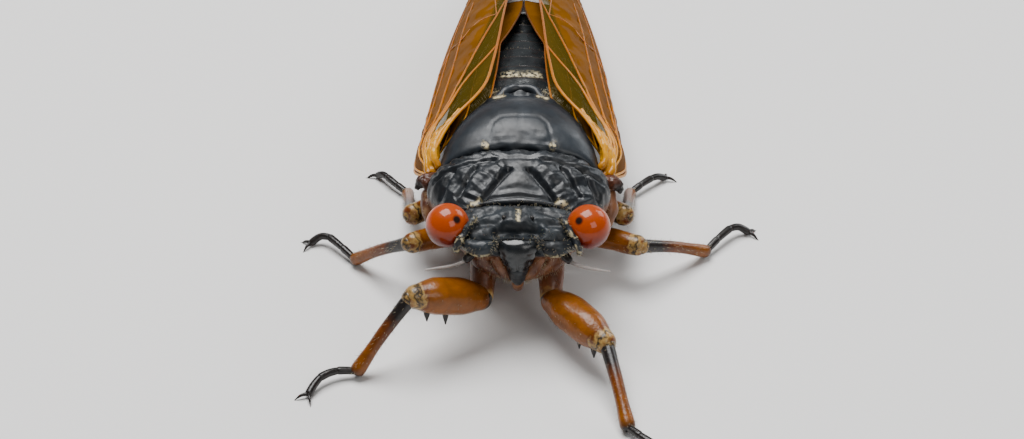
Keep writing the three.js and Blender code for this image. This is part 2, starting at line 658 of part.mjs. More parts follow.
// The pitch is about the line through the eyes, and the origin is on the floor under the box's centre.
cicada.rotation.x = -PITCH;
const eyeLine = new THREE.Vector3(0, EYE_Y, 0).applyEuler(cicada.rotation);
cicada.position.set(0, -eyeLine.y, EYE_HEIGHT - eyeLine.z);
cicada.updateMatrixWorld(true);
const box = new THREE.Box3().setFromObject(cicada, true);
cicada.position.x -= (box.min.x + box.max.x) / 2;
cicada.position.y -= (box.min.y + box.max.y) / 2;
cicada.position.z -= box.min.z;

export default cicada;
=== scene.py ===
"""A periodical cicada standing on a flat floor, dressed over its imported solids.

Each piece is modelled in millimetres in the insect's own frame, where y runs back from the face, z is zero at
eye level and +x is the insect's left. A finished piece is then set in the row frame, in metres.
"""

import logging
import math
import random
from dataclasses import dataclass, field
from enum import Enum
from typing import Callable, Optional, Sequence

import bpy
from mathutils import Matrix, Vector, noise


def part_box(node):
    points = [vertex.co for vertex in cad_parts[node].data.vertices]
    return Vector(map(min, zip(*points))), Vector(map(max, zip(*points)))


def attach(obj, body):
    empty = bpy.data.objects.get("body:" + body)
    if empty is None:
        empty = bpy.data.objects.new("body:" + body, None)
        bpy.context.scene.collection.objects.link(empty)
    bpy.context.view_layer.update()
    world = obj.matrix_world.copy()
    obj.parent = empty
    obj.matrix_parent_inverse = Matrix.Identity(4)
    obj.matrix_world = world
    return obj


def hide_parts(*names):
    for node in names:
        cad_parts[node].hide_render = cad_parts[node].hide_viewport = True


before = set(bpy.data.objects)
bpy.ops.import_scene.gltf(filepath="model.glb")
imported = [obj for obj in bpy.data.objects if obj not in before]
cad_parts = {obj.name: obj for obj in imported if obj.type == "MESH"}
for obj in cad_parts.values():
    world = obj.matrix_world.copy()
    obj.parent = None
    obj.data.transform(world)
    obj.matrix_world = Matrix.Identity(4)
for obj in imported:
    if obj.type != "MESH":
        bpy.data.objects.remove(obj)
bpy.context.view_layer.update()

log = logging.getLogger("cicada")

Color = tuple[float, float, float]
Spot = tuple[float, float, float]
Ring = list[Vector]
Relief = Callable[[Vector, Vector], float]


def clamp(value: float, low: float = 0.0, high: float = 1.0) -> float:
    """Returns the value held between low and high."""
    return max(low, min(high, value))


def smooth(value: float) -> float:
    """Returns an eased step from 0 to 1."""
    t = clamp(value)
    return t * t * (3 - 2 * t)


def mix(a: float, b: float, t: float) -> float:
    """Returns the value a fraction t of the way from a to b."""
    return a + (b - a) * t


def spread(start: float, end: float, steps: int) -> list[float]:
    """Returns steps + 1 even values from start to end."""
    return [mix(start, end, i / steps) for i in range(steps + 1)]


def near_line(x: float, y: float, a: tuple[float, float], b: tuple[float, float], width: float) -> float:
    """Tells how close a point of the back lies to a line that is mirrored to both sides.

    Args:
        x: distance from the midline, on either side.
        y: distance behind the face.
        a: one end of the line.
        b: its other end.
        width: the distance at which the effect ends.

    Returns:
        1 on the line, easing to 0 at the width.
    """
    px = abs(x)
    run = (b[0] - a[0]) ** 2 + (b[1] - a[1]) ** 2
    t = clamp(((px - a[0]) * (b[0] - a[0]) + (y - a[1]) * (b[1] - a[1])) / run)
    away = math.hypot(px - mix(a[0], b[0], t), y - mix(a[1], b[1], t))
    return 1 - smooth(away / width)


class Side(Enum):
    """The insect's two sides, as the sign of x."""

    LEFT = 1
    RIGHT = -1

    @property
    def word(self) -> str:
        """The side as it ends a node's name."""
        return self.name.lower()

    def at(self, x: float, y: float, z: float) -> Vector:
        """Returns a point given for the left side, on this side."""
        return Vector((self.value * x, y, z))


@dataclass(frozen=True)
class Stance:
    """How the body frame lies over the floor."""

    pitch: float = math.radians(5.5)
    eye_height: float = 6.3
    eye_y: float = 1.6

    def eyes(self) -> Vector:
        """Returns the point between the eyes in the row frame, in millimetres."""
        corners = [Vector(c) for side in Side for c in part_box(f"eye_{side.word}")]
        return sum(corners, Vector()) / len(corners) * 1000

    def matrix(self) -> Matrix:
        """Returns the change from the body frame in millimetres to the row frame in metres."""
        turn = Matrix.Rotation(-self.pitch, 4, "X")
        return Matrix.Scale(0.001, 4) @ Matrix.Translation(self.eyes()) @ turn @ Matrix.Translation((0, -self.eye_y, 0))

    def over_floor(self, x: float, behind: float, height: float) -> Vector:
        """Returns a body point from its place over the floor.

        Args:
            x: sideways place.
            behind: distance behind the eyes along the floor.
            height: height above the floor.
        """
        rise = height - self.eye_height
        y = self.eye_y + behind * math.cos(self.pitch) - rise * math.sin(self.pitch)
        return Vector((x, y, behind * math.sin(self.pitch) + rise * math.cos(self.pitch)))

    def floor(self, y: float) -> float:
        """Returns the floor's z in the body frame at a distance behind the face."""
        return ((y - self.eye_y) * math.sin(self.pitch) - self.eye_height) / math.cos(self.pitch)


STANCE = Stance()
BODY_TO_ROW = STANCE.matrix()


@dataclass
class Path:
    """A smooth line through points, read by its length."""

    points: Sequence[Vector]
    grain: int = 24
    samples: list[Vector] = field(init=False)
    lengths: list[float] = field(init=False)

    def __post_init__(self) -> None:
        """Draws the line once and measures it."""
        self.samples = []
        for k in range(len(self.points) - 1):
            for i in range(self.grain):
                self.samples.append(self._between(k, i / self.grain))
        self.samples.append(self.points[-1].copy())
        self.lengths = [0.0]
        for a, b in zip(self.samples, self.samples[1:]):
            self.lengths.append(self.lengths[-1] + (b - a).length)

    def _between(self, k: int, t: float) -> Vector:
        """Returns the point a fraction t of the way from point k to the next, on a centripetal curve."""
        last = len(self.points) - 1
        p1, p2 = self.points[k], self.points[k + 1]
        p0 = self.points[k - 1] if k > 0 else p1 * 2 - p2
        p3 = self.points[k + 2] if k + 2 <= last else p2 * 2 - p1
        d0, d1, d2 = (max((b - a).length, 1e-6) ** 0.5 for a, b in ((p0, p1), (p1, p2), (p2, p3)))
        m1 = ((p1 - p0) / d0 - (p2 - p0) / (d0 + d1) + (p2 - p1) / d1) * d1
        m2 = ((p2 - p1) / d1 - (p3 - p1) / (d1 + d2) + (p3 - p2) / d2) * d1
        c, d = p2 * 3 - p1 * 3 - m1 * 2 - m2, p1 * 2 - p2 * 2 + m1 + m2
        return p1 + m1 * t + c * t * t + d * t**3

    def at(self, share: float) -> Vector:
        """Returns the point at a share of the length."""
        want = clamp(share) * self.lengths[-1]
        low, high = 0, len(self.lengths) - 1
        while high - low > 1:
            middle = (low + high) // 2
            low, high = (middle, high) if self.lengths[middle] <= want else (low, middle)
        step = self.lengths[high] - self.lengths[low]
        t = (want - self.lengths[low]) / step if step else 0.0
        return self.samples[low].lerp(self.samples[high], t)

    def heading(self, share: float) -> Vector:
        """Returns the direction of the line at a share of its length."""
        return (self.at(min(1, share + 0.01)) - self.at(max(0, share - 0.01))).normalized()


class Bench:
    """The workbench: Blender's operators, each used on a clean selection."""

    @staticmethod
    def clear() -> None:
        """Leaves edit mode and deselects everything."""
        if bpy.context.object and bpy.context.object.mode != "OBJECT":
            bpy.ops.object.mode_set(mode="OBJECT")
        bpy.ops.object.select_all(action="DESELECT")

    @staticmethod
    def choose(obj: bpy.types.Object) -> None:
        """Makes one object the only one selected."""
        Bench.clear()
        obj.select_set(True)
        bpy.context.view_layer.objects.active = obj

    @staticmethod
    def finish(obj: bpy.types.Object, kind: str, **settings: object) -> None:
        """Adds a modifier to an object and applies it.

        Args:
            obj: the object.
            kind: Blender's name of the modifier.
            settings: its fields.
        """
        Bench.choose(obj)
        bpy.ops.object.modifier_add(type=kind)
        modifier = obj.modifiers[-1]
        for key, value in settings.items():
            setattr(modifier, key, value)
        bpy.ops.object.modifier_apply(modifier=modifier.name)

    @staticmethod
    def rounded(obj: bpy.types.Object, levels: int) -> None:
        """Rounds a cage by subdivision."""
        if levels:
            Bench.finish(obj, "SUBSURF", levels=levels, render_levels=levels)

    @staticmethod
    def loft(rings: Sequence[Ring], levels: int = 1) -> bpy.types.Object:
        """Extrudes a disc once for each ring and lays every loop on its ring.

        Args:
            rings: closed rings with the same count, which four divides.
            levels: subdivision of the finished cage.

        Returns:
            The closed piece, with an along attribute from 0 at the first ring to 1 at the last.
        """
        count = len(rings[0])
        Bench.clear()
        bpy.ops.mesh.primitive_circle_add(vertices=count, radius=1, fill_type="NGON")
        obj = bpy.context.object
        bpy.ops.object.mode_set(mode="EDIT")
        bpy.ops.mesh.select_all(action="SELECT")
        for _ in rings[1:]:
            bpy.ops.mesh.extrude_region_move(TRANSFORM_OT_translate={"value": (0, 0, 1)})
        bpy.ops.object.mode_set(mode="OBJECT")
        along = obj.data.attributes.new("along", "FLOAT", "POINT")
        for v in obj.data.vertices:
            row = round(v.co.z)
            turn = round(math.atan2(v.co.y, v.co.x) / (2 * math.pi) * count) % count
            along.data[v.index].value = row / (len(rings) - 1)
            v.co = rings[row][turn]
        Bench.face_out(obj)
        Bench.rounded(obj, levels)
        return obj

    @staticmethod
    def face_out(obj: bpy.types.Object) -> None:
        """Merges doubled points and turns every face outwards."""
        Bench.choose(obj)
        bpy.ops.object.mode_set(mode="EDIT")
        bpy.ops.mesh.select_all(action="SELECT")
        bpy.ops.mesh.remove_doubles(threshold=1e-4)
        bpy.ops.mesh.normals_make_consistent(inside=False)
        bpy.ops.object.mode_set(mode="OBJECT")

    @staticmethod
    def limb(
        points: Sequence[Vector], radii: Sequence[float], sides: int = 16, steps: int = 12, flat: float = 1.0, levels: int = 1
    ) -> bpy.types.Object:
        """Draws a round bar along a smooth line, with rounded ends.

        Args:
            points: the line's points.
            radii: even spread of radii along it.
            sides: sides of its section.
            steps: rings along it.
            flat: width over height of the section.
            levels: subdivision.
        """
        path = Path(points)
        rings: list[Ring] = []

        def radius(t: float) -> float:
            """Returns the bar's radius at a share of its length."""
            place = t * (len(radii) - 1)
            k = min(len(radii) - 2, int(place))
            return mix(radii[k], radii[k + 1], smooth(place - k))

        def ring(t: float, shift: float, size: float) -> Ring:
            """Returns a ring of the bar, moved along it and scaled."""
            heading = path.heading(t)
            side = heading.cross(Vector((0, 0, 1)) if abs(heading.z) < 0.95 else Vector((0, 1, 0))).normalized()
            lift = side.cross(heading).normalized()
            centre = path.at(t) + heading * shift
            angles = [2 * math.pi * k / sides for k in range(sides)]
            r = radius(t) * size
            return [centre + side * (math.cos(a) * r * flat) + lift * (math.sin(a) * r) for a in angles]

        start, end = radius(0), radius(1)
        rings += [ring(0, -start * 0.5, 0.25), ring(0, -start * 0.42, 0.7)]
        rings += [ring(t, 0, 1) for t in spread(0, 1, steps)]
        rings += [ring(1, end * 0.42, 0.7), ring(1, end * 0.5, 0.25)]
        return Bench.loft(rings, levels)

    @staticmethod
    def ball(centre: Vector, radius: Sequence[float], segments: int = 48, rows: int = 32) -> bpy.types.Object:
        """Adds a ball, stretched to its three radii."""
        Bench.clear()
        bpy.ops.mesh.primitive_uv_sphere_add(segments=segments, ring_count=rows, radius=1, location=centre)
        obj = bpy.context.object
        bpy.ops.object.mode_set(mode="EDIT")
        bpy.ops.mesh.select_all(action="SELECT")
        bpy.ops.transform.resize(value=tuple(radius), center_override=tuple(centre))
        bpy.ops.object.mode_set(mode="OBJECT")
        Bench.settle(obj)
        return obj

    @staticmethod
    def settle(obj: bpy.types.Object) -> None:
        """Puts an object's place into its mesh."""
        Bench.choose(obj)
        bpy.ops.object.transform_apply(location=True, rotation=True, scale=True)

    @staticmethod
    def tap(obj: bpy.types.Object, place: Vector, move: Vector, reach: float) -> None:
        """Pulls one spot of a surface with proportional editing, as a sculptor pulls clay.

        Args:
            obj: the piece.
            place: the point near which the spot lies.
            move: how far it is pulled.
            reach: the distance at which the pull ends.
        """
        Bench.choose(obj)
        bpy.ops.object.mode_set(mode="EDIT")
        bpy.ops.mesh.select_all(action="DESELECT")
        bpy.ops.object.mode_set(mode="OBJECT")
        spot = min(obj.data.vertices, key=lambda v: (v.co - place).length_squared)
        spot.select = True
        bpy.ops.object.mode_set(mode="EDIT")
        bpy.ops.transform.translate(
            value=tuple(move), use_proportional_edit=True, proportional_size=reach, proportional_edit_falloff="SMOOTH"
        )
        bpy.ops.object.mode_set(mode="OBJECT")

    @staticmethod
    def carve(obj: bpy.types.Object, relief: Relief) -> None:
        """Moves every point of a fine surface along its normal.

        Args:
            obj: the piece.
            relief: height in millimetres, from a point and its normal.
        """
        normals = [v.normal.copy() for v in obj.data.vertices]
        heights = [relief(v.co, n) for v, n in zip(obj.data.vertices, normals)]
        for v, n, h in zip(obj.data.vertices, normals, heights):
            v.co += n * h
        obj.data.update()

    @staticmethod
    def tint(obj: bpy.types.Object, name: str, value: Callable[[Vector, Vector], float]) -> None:
        """Stores a number from 0 to 1 on every point, for the finish to read."""
        layer = obj.data.attributes.new(name, "FLOAT", "POINT")
        for v in obj.data.vertices:
            layer.data[v.index].value = clamp(value(v.co, v.normal))

    @staticmethod
    def joined(pieces: Sequence[bpy.types.Object]) -> bpy.types.Object:
        """Joins several objects into the first."""
        Bench.clear()
        for piece in pieces:
            piece.select_set(True)
        bpy.context.view_layer.objects.active = pieces[0]
        bpy.ops.object.join()
        return pieces[0]


class Shader:
    """A material's nodes while they are put together."""

    def __init__(self, name: str) -> None:
        """Starts an empty material."""
        self.material = bpy.data.materials.new(name)
        self.material.use_nodes = True
        self.tree = self.material.node_tree
        self.tree.nodes.clear()

    def add(self, kind: str, inputs: Optional[dict] = None, **settings: object) -> bpy.types.Node:
        """Adds a node.

        Args:
            kind: Blender's type name, without its ShaderNode prefix.
            inputs: value or socket for each named or numbered input.
            settings: the node's own fields.

        Returns:
            The node.
        """
        node = self.tree.nodes.new("ShaderNode" + kind)
        for key, value in settings.items():
            setattr(node, key, value)
        for key, value in (inputs or {}).items():
            if isinstance(value, bpy.types.NodeSocket):
                self.tree.links.new(value, node.inputs[key])
            else:
                node.inputs[key].default_value = value
        return node

    def shared(self, effect: "Effect", **inputs: object) -> bpy.types.Node:
        """Places a shared effect with this material's own values."""
        node = self.tree.nodes.new("ShaderNodeGroup")
        node.node_tree = effect.tree()
        for key, value in inputs.items():
            node.inputs[key.replace("_", " ").title()].default_value = value
        return node

    def ramp(self, factor: bpy.types.NodeSocket, stops: Sequence[tuple[float, Color]]) -> bpy.types.NodeSocket:
        """Returns the colour of a factor between stops."""
        node = self.add("ValToRGB", {"Fac": factor})
        elements = node.color_ramp.elements
        while len(elements) < len(stops):
            elements.new(0.5)
        for element, (place, color) in zip(elements, stops):
            element.position = place
            element.color = (*color, 1)
        return node.outputs["Color"]

    def blend(self, factor: object, a: object, b: object) -> bpy.types.NodeSocket:
        """Returns a mix of two colours."""
        as_input = lambda c: c if isinstance(c, bpy.types.NodeSocket) else (*c, 1)
        node = self.add("Mix", {0: factor, 6: as_input(a), 7: as_input(b)}, data_type="RGBA")
        return node.outputs[2]

    def math(self, operation: str, *values: object) -> bpy.types.NodeSocket:
        """Returns the result of a sum on numbers."""
        return self.add("Math", dict(enumerate(values)), operation=operation).outputs[0]

    def attribute(self, name: str) -> bpy.types.NodeSocket:
        """Returns the number stored on the piece under a name."""
        return self.add("Attribute", attribute_name=name).outputs["Fac"]

    def bumped(self, height: bpy.types.NodeSocket, depth_mm: float) -> bpy.types.NodeSocket:
        """Returns a normal roughened by a height."""
        return self.add("Bump", {"Strength": 1.0, "Distance": depth_mm / 1000, "Height": height}).outputs["Normal"]

    def close(self, **inputs: object) -> bpy.types.Material:
        """Ends the material in one Principled BSDF.

        Args:
            inputs: its sockets, with _ for a space.
        """
        named = {key.replace("_", " "): value for key, value in inputs.items()}
        surface = self.add("BsdfPrincipled", named)
        self.add("OutputMaterial", {"Surface": surface.outputs[0]})
        return self.material


class Effect(Enum):
    """Effects that several finishes share, each a node group built once."""

    CHITIN = "chitin_grain"
    MOTTLE = "soft_mottle"

    def tree(self) -> bpy.types.NodeTree:
        """Returns the effect's node group, and builds it the first time."""
        made = bpy.data.node_groups.get(self.value)
        return made or (self._chitin() if self is Effect.CHITIN else self._mottle())

    def _blank(self, inputs: dict[str, float], outputs: Sequence[str]) -> bpy.types.NodeTree:
        """Returns an empty group with number sockets."""
        tree = bpy.data.node_groups.new(self.value, "ShaderNodeTree")
        for name, value in inputs.items():
            socket = tree.interface.new_socket(name=name, in_out="INPUT", socket_type="NodeSocketFloat")
            socket.default_value = value
        for name in outputs:
            tree.interface.new_socket(name=name, in_out="OUTPUT", socket_type="NodeSocketFloat")
        return tree

    def _chitin(self) -> bpy.types.NodeTree:
        """Pits and fine creases of a hard skin, as a height and a gloss mask."""
        tree = self._blank({"Grain": 4000.0, "Creases": 0.5}, ("Height", "Gloss"))
        nodes, links = tree.nodes, tree.links
        start, end = nodes.new("NodeGroupInput"), nodes.new("NodeGroupOutput")
        place = nodes.new("ShaderNodeTexCoord")
        pits = nodes.new("ShaderNodeTexVoronoi")
        creases = nodes.new("ShaderNodeTexNoise")
        creases.inputs["Detail"].default_value = 8
        creases.inputs["Roughness"].default_value = 0.62
        creases.inputs["Distortion"].default_value = 0.8
        third = nodes.new("ShaderNodeMath")
        third.operation = "MULTIPLY"
        third.inputs[1].default_value = 0.3
        total = nodes.new("ShaderNodeMix")
        links.new(place.outputs["Object"], pits.inputs["Vector"])
        links.new(place.outputs["Object"], creases.inputs["Vector"])
        links.new(start.outputs["Grain"], pits.inputs["Scale"])
        links.new(start.outputs["Grain"], third.inputs[0])
        links.new(third.outputs[0], creases.inputs["Scale"])
        links.new(start.outputs["Creases"], total.inputs[0])
        links.new(pits.outputs["Distance"], total.inputs[2])
        links.new(creases.outputs[0], total.inputs[3])
        links.new(total.outputs[0], end.inputs["Height"])
        links.new(creases.outputs[0], end.inputs["Gloss"])
        return tree

    def _mottle(self) -> bpy.types.NodeTree:
        """Soft clouds of lighter and darker colour."""
        tree = self._blank({"Size": 1200.0, "Low": 0.35, "High": 0.65}, ("Mask",))
        nodes, links = tree.nodes, tree.links
        start, end = nodes.new("NodeGroupInput"), nodes.new("NodeGroupOutput")
        place = nodes.new("ShaderNodeTexCoord")
        cloud = nodes.new("ShaderNodeTexNoise")
        cloud.inputs["Detail"].default_value = 5
        span = nodes.new("ShaderNodeMapRange")
        links.new(place.outputs["Object"], cloud.inputs["Vector"])
        links.new(start.outputs["Size"], cloud.inputs["Scale"])
        links.new(cloud.outputs[0], span.inputs["Value"])
        links.new(start.outputs["Low"], span.inputs["From Min"])
        links.new(start.outputs["High"], span.inputs["From Max"])
        links.new(span.outputs["Result"], end.inputs["Mask"])
        return tree


@dataclass(frozen=True)
class CuticleFinish:
    """Hard glossy skin, black on the back and brown on the flanks, with pale bloom in places."""

    name: str
    slot: str
    deep: Color
    light: Color
    flank: Color = (0.13, 0.045, 0.016)
    bloom: Color = (0.62, 0.52, 0.30)
    cloud: float = 900.0
    grain: float = 5200.0
    creases: float = 0.6
    depth_mm: float = 0.02
    gloss: tuple[float, float] = (0.28, 0.56)
    coat: float = 0.05
    shine: float = 0.36

    def make(self) -> bpy.types.Material:
        """Builds the material."""
        s = Shader(self.name)
        chitin = s.shared(Effect.CHITIN, grain=self.grain, creases=self.creases)
        cloud = s.shared(Effect.MOTTLE, size=self.cloud)
        speck = s.shared(Effect.MOTTLE, size=self.cloud * 6, low=0.42, high=0.56)
        base = s.blend(cloud.outputs["Mask"], self.deep, self.light)
        base = s.blend(s.attribute("flank"), base, self.flank)
        frosted = s.math("MULTIPLY", s.attribute("bloom"), speck.outputs["Mask"])
        base = s.blend(frosted, base, self.bloom)
        span = s.add("MapRange", {"Value": chitin.outputs["Gloss"], "From Min": 0.35, "From Max": 0.65})
        span.inputs["To Min"].default_value, span.inputs["To Max"].default_value = self.gloss
        rough = s.math("MAXIMUM", span.outputs["Result"], s.math("MULTIPLY", frosted, 0.75))
        normal = s.bumped(chitin.outputs["Height"], self.depth_mm)
        return s.close(
            Base_Color=base, Roughness=rough, Normal=normal, Coat_Weight=self.coat, Coat_Roughness=0.16,
            Specular_IOR_Level=self.shine,
        )


@dataclass(frozen=True)
class BandedFinish:
    """A limb's skin, whose colour changes along the limb."""

    name: str
    slot: str
    stops: tuple[tuple[float, Color], ...]
    wander: float = 0.08
    streak: float = 0.35
    depth_mm: float = 0.02
    roughness: float = 0.32
    coat: float = 0.12

    def make(self) -> bpy.types.Material:
        """Builds the material."""
        s = Shader(self.name)
        cloud = s.shared(Effect.MOTTLE, size=2200.0, low=0.3, high=0.7)
        chitin = s.shared(Effect.CHITIN, grain=7000.0, creases=0.5)
        shift = s.math("MULTIPLY", s.math("SUBTRACT", cloud.outputs["Mask"], 0.5), self.wander)
        base = s.ramp(s.math("ADD", s.attribute("along"), shift), self.stops)
        dark = s.blend(1.0, base, (0.0, 0.0, 0.0))
        shade = s.math("MULTIPLY", s.math("SUBTRACT", 1.0, cloud.outputs["Mask"]), self.streak)
        base = s.blend(shade, base, dark)
        normal = s.bumped(chitin.outputs["Height"], self.depth_mm)
        return s.close(
            Base_Color=base, Roughness=self.roughness, Normal=normal, Coat_Weight=self.coat,
            Coat_Roughness=0.1, Subsurface_Weight=0.08, Subsurface_Scale=0.0006, Specular_IOR_Level=0.3,
        )


@dataclass(frozen=True)
class EyeFinish:
    """A glossy compound eye with a dark false pupil, its red darkened by painted shade towards the bottom."""

    name: str
    centre: Vector
    radius: float
    pupil: Vector
    slot: str = "eye_red"
    bright: Color = (0.34, 0.042, 0.0)
    # low and rim are painted shade: the eye's red made darker on its lower half and at its bottom edge.
    low: Color = (0.1, 0.004, 0.0)
    rim: Color = (0.12, 0.008, 0.004)
    facet: float = 26000.0

    def make(self) -> bpy.types.Material:
        """Builds the material."""
        s = Shader(self.name)
        place = s.add("TexCoord").outputs["Object"]
        scale = 1 / (self.radius / 1000)
        centre = BODY_TO_ROW @ self.centre
        local = s.add("Mapping", {"Vector": place, "Location": -centre * scale, "Scale": (scale,) * 3}).outputs[0]
        height = s.add("SeparateXYZ", {"Vector": local}).outputs["Z"]
        span = s.add("MapRange", {"Value": height, "From Min": -1.0, "From Max": 1.0}).outputs["Result"]
        cloud = s.shared(Effect.MOTTLE, size=1500.0)
        shade_height = s.math("ADD", span, s.math("MULTIPLY", s.math("SUBTRACT", cloud.outputs["Mask"], 0.5), 0.08))
        # Painted shade: the colour runs from the eye's red at the top to dark red low down and at the bottom edge.
        base = s.ramp(shade_height, ((0.08, self.rim), (0.34, self.low), (0.7, self.bright), (1.0, self.bright)))
        away = s.add("VectorMath", {0: local, 1: self.pupil.normalized()}, operation="DISTANCE").outputs["Value"]
        spot = s.add("MapRange", {"Value": away, "From Min": 0.13, "From Max": 0.24}).outputs["Result"]
        base = s.blend(spot, (0.012, 0.004, 0.003), base)
        facets = s.add("TexVoronoi", {"Vector": place, "Scale": self.facet}).outputs["Distance"]
        normal = s.bumped(facets, 0.006)
        return s.close(
            Base_Color=base, Roughness=0.4, Normal=normal, Coat_Weight=0.5, Coat_Roughness=0.02,
            Specular_IOR_Level=0.08,
        )


@dataclass(frozen=True)
class MembraneFinish:
    """Clear wing skin, amber towards the front margin and nearly clear by the inner one."""

    name: str = "wing_membrane"
    slot: str = "wing_membrane"
    amber: Color = (0.16, 0.06, 0.006)
    clear: Color = (0.085, 0.06, 0.007)
    yellow: Color = (0.62, 0.27, 0.001)
    opacity: tuple[float, float] = (0.96, 0.4)

    def make(self) -> bpy.types.Material:
        """Builds the material."""
        s = Shader(self.name)
        uv = s.add("SeparateXYZ", {"Vector": s.add("TexCoord").outputs["UV"]})
        cloud = s.shared(Effect.MOTTLE, size=500.0, low=0.3, high=0.7)
        chitin = s.shared(Effect.CHITIN, grain=1500.0, creases=0.9)
        open_root = s.math("POWER", s.math("MAXIMUM", s.math("SUBTRACT", 1.0, s.math("MULTIPLY", uv.outputs["X"], 2.0)), 0.0), 1.8)
        beyond = s.math("ADD", uv.outputs["Y"], s.math("MULTIPLY", open_root, 0.5))
        edge = s.add("MapRange", {"Value": beyond, "From Min": 0.92, "From Max": 0.95}).outputs["Result"]
        rear = s.add("MapRange", {"Value": uv.outputs["X"], "From Min": 0.5, "From Max": 0.56}).outputs["Result"]
        inner = s.math("MULTIPLY", edge, s.math("SUBTRACT", 1.0, rear))
        dusk = s.math("MULTIPLY", cloud.outputs["Mask"], 0.6)
        amber = s.blend(dusk, self.amber, tuple(c * 0.5 for c in self.amber))
        base = s.blend(inner, amber, self.clear)
        reach = s.math("SUBTRACT", uv.outputs["X"], s.math("MULTIPLY", uv.outputs["Y"], 0.035))
        ragged = s.math("ADD", reach, s.math("MULTIPLY", cloud.outputs["Mask"], 0.012))
        blade = s.add("MapRange", {"Value": ragged, "From Min": 0.004, "From Max": 0.03}).outputs["Result"]
        base = s.blend(blade, self.yellow, base)
        alpha = s.add("MapRange", {"Value": inner})
        alpha.inputs["To Min"].default_value, alpha.inputs["To Max"].default_value = self.opacity
        thick = s.math("MAXIMUM", alpha.outputs["Result"], s.math("SUBTRACT", 1.0, blade))
        normal = s.bumped(chitin.outputs["Height"], 0.03)
        return s.close(
            Base_Color=base, Roughness=0.3, Normal=normal, Alpha=thick, Specular_IOR_Level=0.0, Coat_Weight=0.08,
            Coat_IOR=1.35, Coat_Roughness=0.12,
        )


BLACK = CuticleFinish("black_cuticle", "cuticle_black", (0.003, 0.004, 0.0055), (0.009, 0.012, 0.016), shine=0.42)
RINGS = CuticleFinish(
    "ring_cuticle", "cuticle_black", (0.006, 0.007, 0.008), (0.016, 0.019, 0.02), depth_mm=0.01, gloss=(0.16, 0.32),
    coat=0.25, shine=0.55,
)
LIP = CuticleFinish(
    "face_band", "cuticle_black", (0.004, 0.005, 0.006), (0.012, 0.015, 0.018), grain=6500.0, creases=0.95,
    depth_mm=0.004, gloss=(0.24, 0.34), coat=0.2, shine=0.45,
)
SHIELD = CuticleFinish(
    "smooth_shield", "cuticle_black", (0.006, 0.008, 0.011), (0.013, 0.018, 0.024),
    depth_mm=0.004, gloss=(0.36, 0.48), coat=0.03, shine=0.4,
)
FACE = CuticleFinish(
    "face_cuticle", "cuticle_black", (0.003, 0.004, 0.0055), (0.014, 0.019, 0.024),
    grain=6500.0, depth_mm=0.022, gloss=(0.34, 0.62), coat=0.03,
)
BROWN = CuticleFinish(
    "brown_cuticle", "cuticle_brown", (0.06, 0.018, 0.008), (0.20, 0.08, 0.03), flank=(0.13, 0.045, 0.016),
)
CREAM: Color = (0.4, 0.24, 0.07)
ORANGE: Color = (0.22, 0.064, 0.001)
RUST: Color = (0.12, 0.028, 0.002)
DARK: Color = (0.012, 0.009, 0.008)
FEMUR = BandedFinish(
    "femur_skin", "leg_orange",
    (
        (0.0, DARK), (0.06, RUST), (0.2, ORANGE), (0.76, ORANGE), (0.8, RUST), (0.84, CREAM), (0.88, DARK),
        (0.92, CREAM), (0.97, RUST),
    ),
    wander=0.12,
)
TIBIA = BandedFinish(
    "tibia_skin", "leg_orange",
    ((0.0, CREAM), (0.04, DARK), (0.3, DARK), (0.45, RUST), (0.85, ORANGE), (0.97, DARK)),
)
TARSUS = BandedFinish("tarsus_skin", "cuticle_black", ((0.0, RUST), (0.15, DARK), (1.0, DARK)))
COXA = BandedFinish(
    "coxa_skin", "cuticle_brown",
    ((0.0, DARK), (0.3, (0.09, 0.028, 0.01)), (0.76, (0.14, 0.042, 0.012)), (0.86, CREAM), (1.0, CREAM)),
    roughness=0.4, coat=0.1,
)
SPINE = BandedFinish("spine_skin", "cuticle_black", ((0.0, DARK), (1.0, DARK)))
FEELER = BandedFinish("feeler_skin", "cuticle_brown", ((0.0, DARK), (0.2, (0.25, 0.22, 0.2)), (1.0, (0.42, 0.4, 0.38))))
VEIN = BandedFinish(
    "wing_vein", "wing_membrane",
    (
        (0.0, (0.8, 0.34, 0.004)), (0.12, (0.5, 0.16, 0.002)), (0.3, (0.38, 0.105, 0.003)), (0.5, (0.32, 0.1, 0.01)),
        (0.75, (0.16, 0.055, 0.01)), (1.0, DARK),
    ),
    streak=0.3, wander=0.15, roughness=0.42, coat=0.05,
)
HINGE = BandedFinish(
    "wing_root", "wing_membrane", ((0.0, (0.22, 0.06, 0.003)), (0.3, (0.64, 0.28, 0.0)), (1.0, (0.55, 0.22, 0.002))), streak=0.1
)
KNOB = BandedFinish(
    "shoulder_knob", "cuticle_brown", ((0.0, RUST), (0.6, (0.08, 0.022, 0.008)), (0.78, DARK), (1.0, DARK)), roughness=0.4,
)
HAIR = BandedFinish("pale_hair", "cuticle_brown", ((0.0, (0.3, 0.24, 0.14)), (1.0, (0.42, 0.36, 0.24))), streak=0.1)


class Workshop:
    """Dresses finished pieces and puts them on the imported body."""

    def __init__(self) -> None:
        """Starts with no material made."""
        self.made: dict[str, bpy.types.Material] = {}

    def material(self, finish: object) -> bpy.types.Material:
        """Returns a finish's material, made once."""
        if finish.name not in self.made:
            self.made[finish.name] = finish.make()
        return self.made[finish.name]

    def keep(self, obj: bpy.types.Object, name: str, finish: object, *nodes: str) -> bpy.types.Object:
        """Names, dresses and places a finished piece.

        Args:
            obj: the piece, in the body frame.
            name: its name.
            finish: what it is dressed in.
            nodes: the solids that it stands for.

        Returns:
            The piece.
        """
        Bench.choose(obj)
        bpy.ops.object.shade_smooth()
        obj.name = obj.data.name = name
        obj.data.transform(BODY_TO_ROW)
        obj.data.materials.clear()
        obj.data.materials.append(self.material(finish))
        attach(obj, "root")
        if nodes:
            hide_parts(*nodes)
        log.info("%s: %d faces", name, len(obj.data.polygons))
        return obj


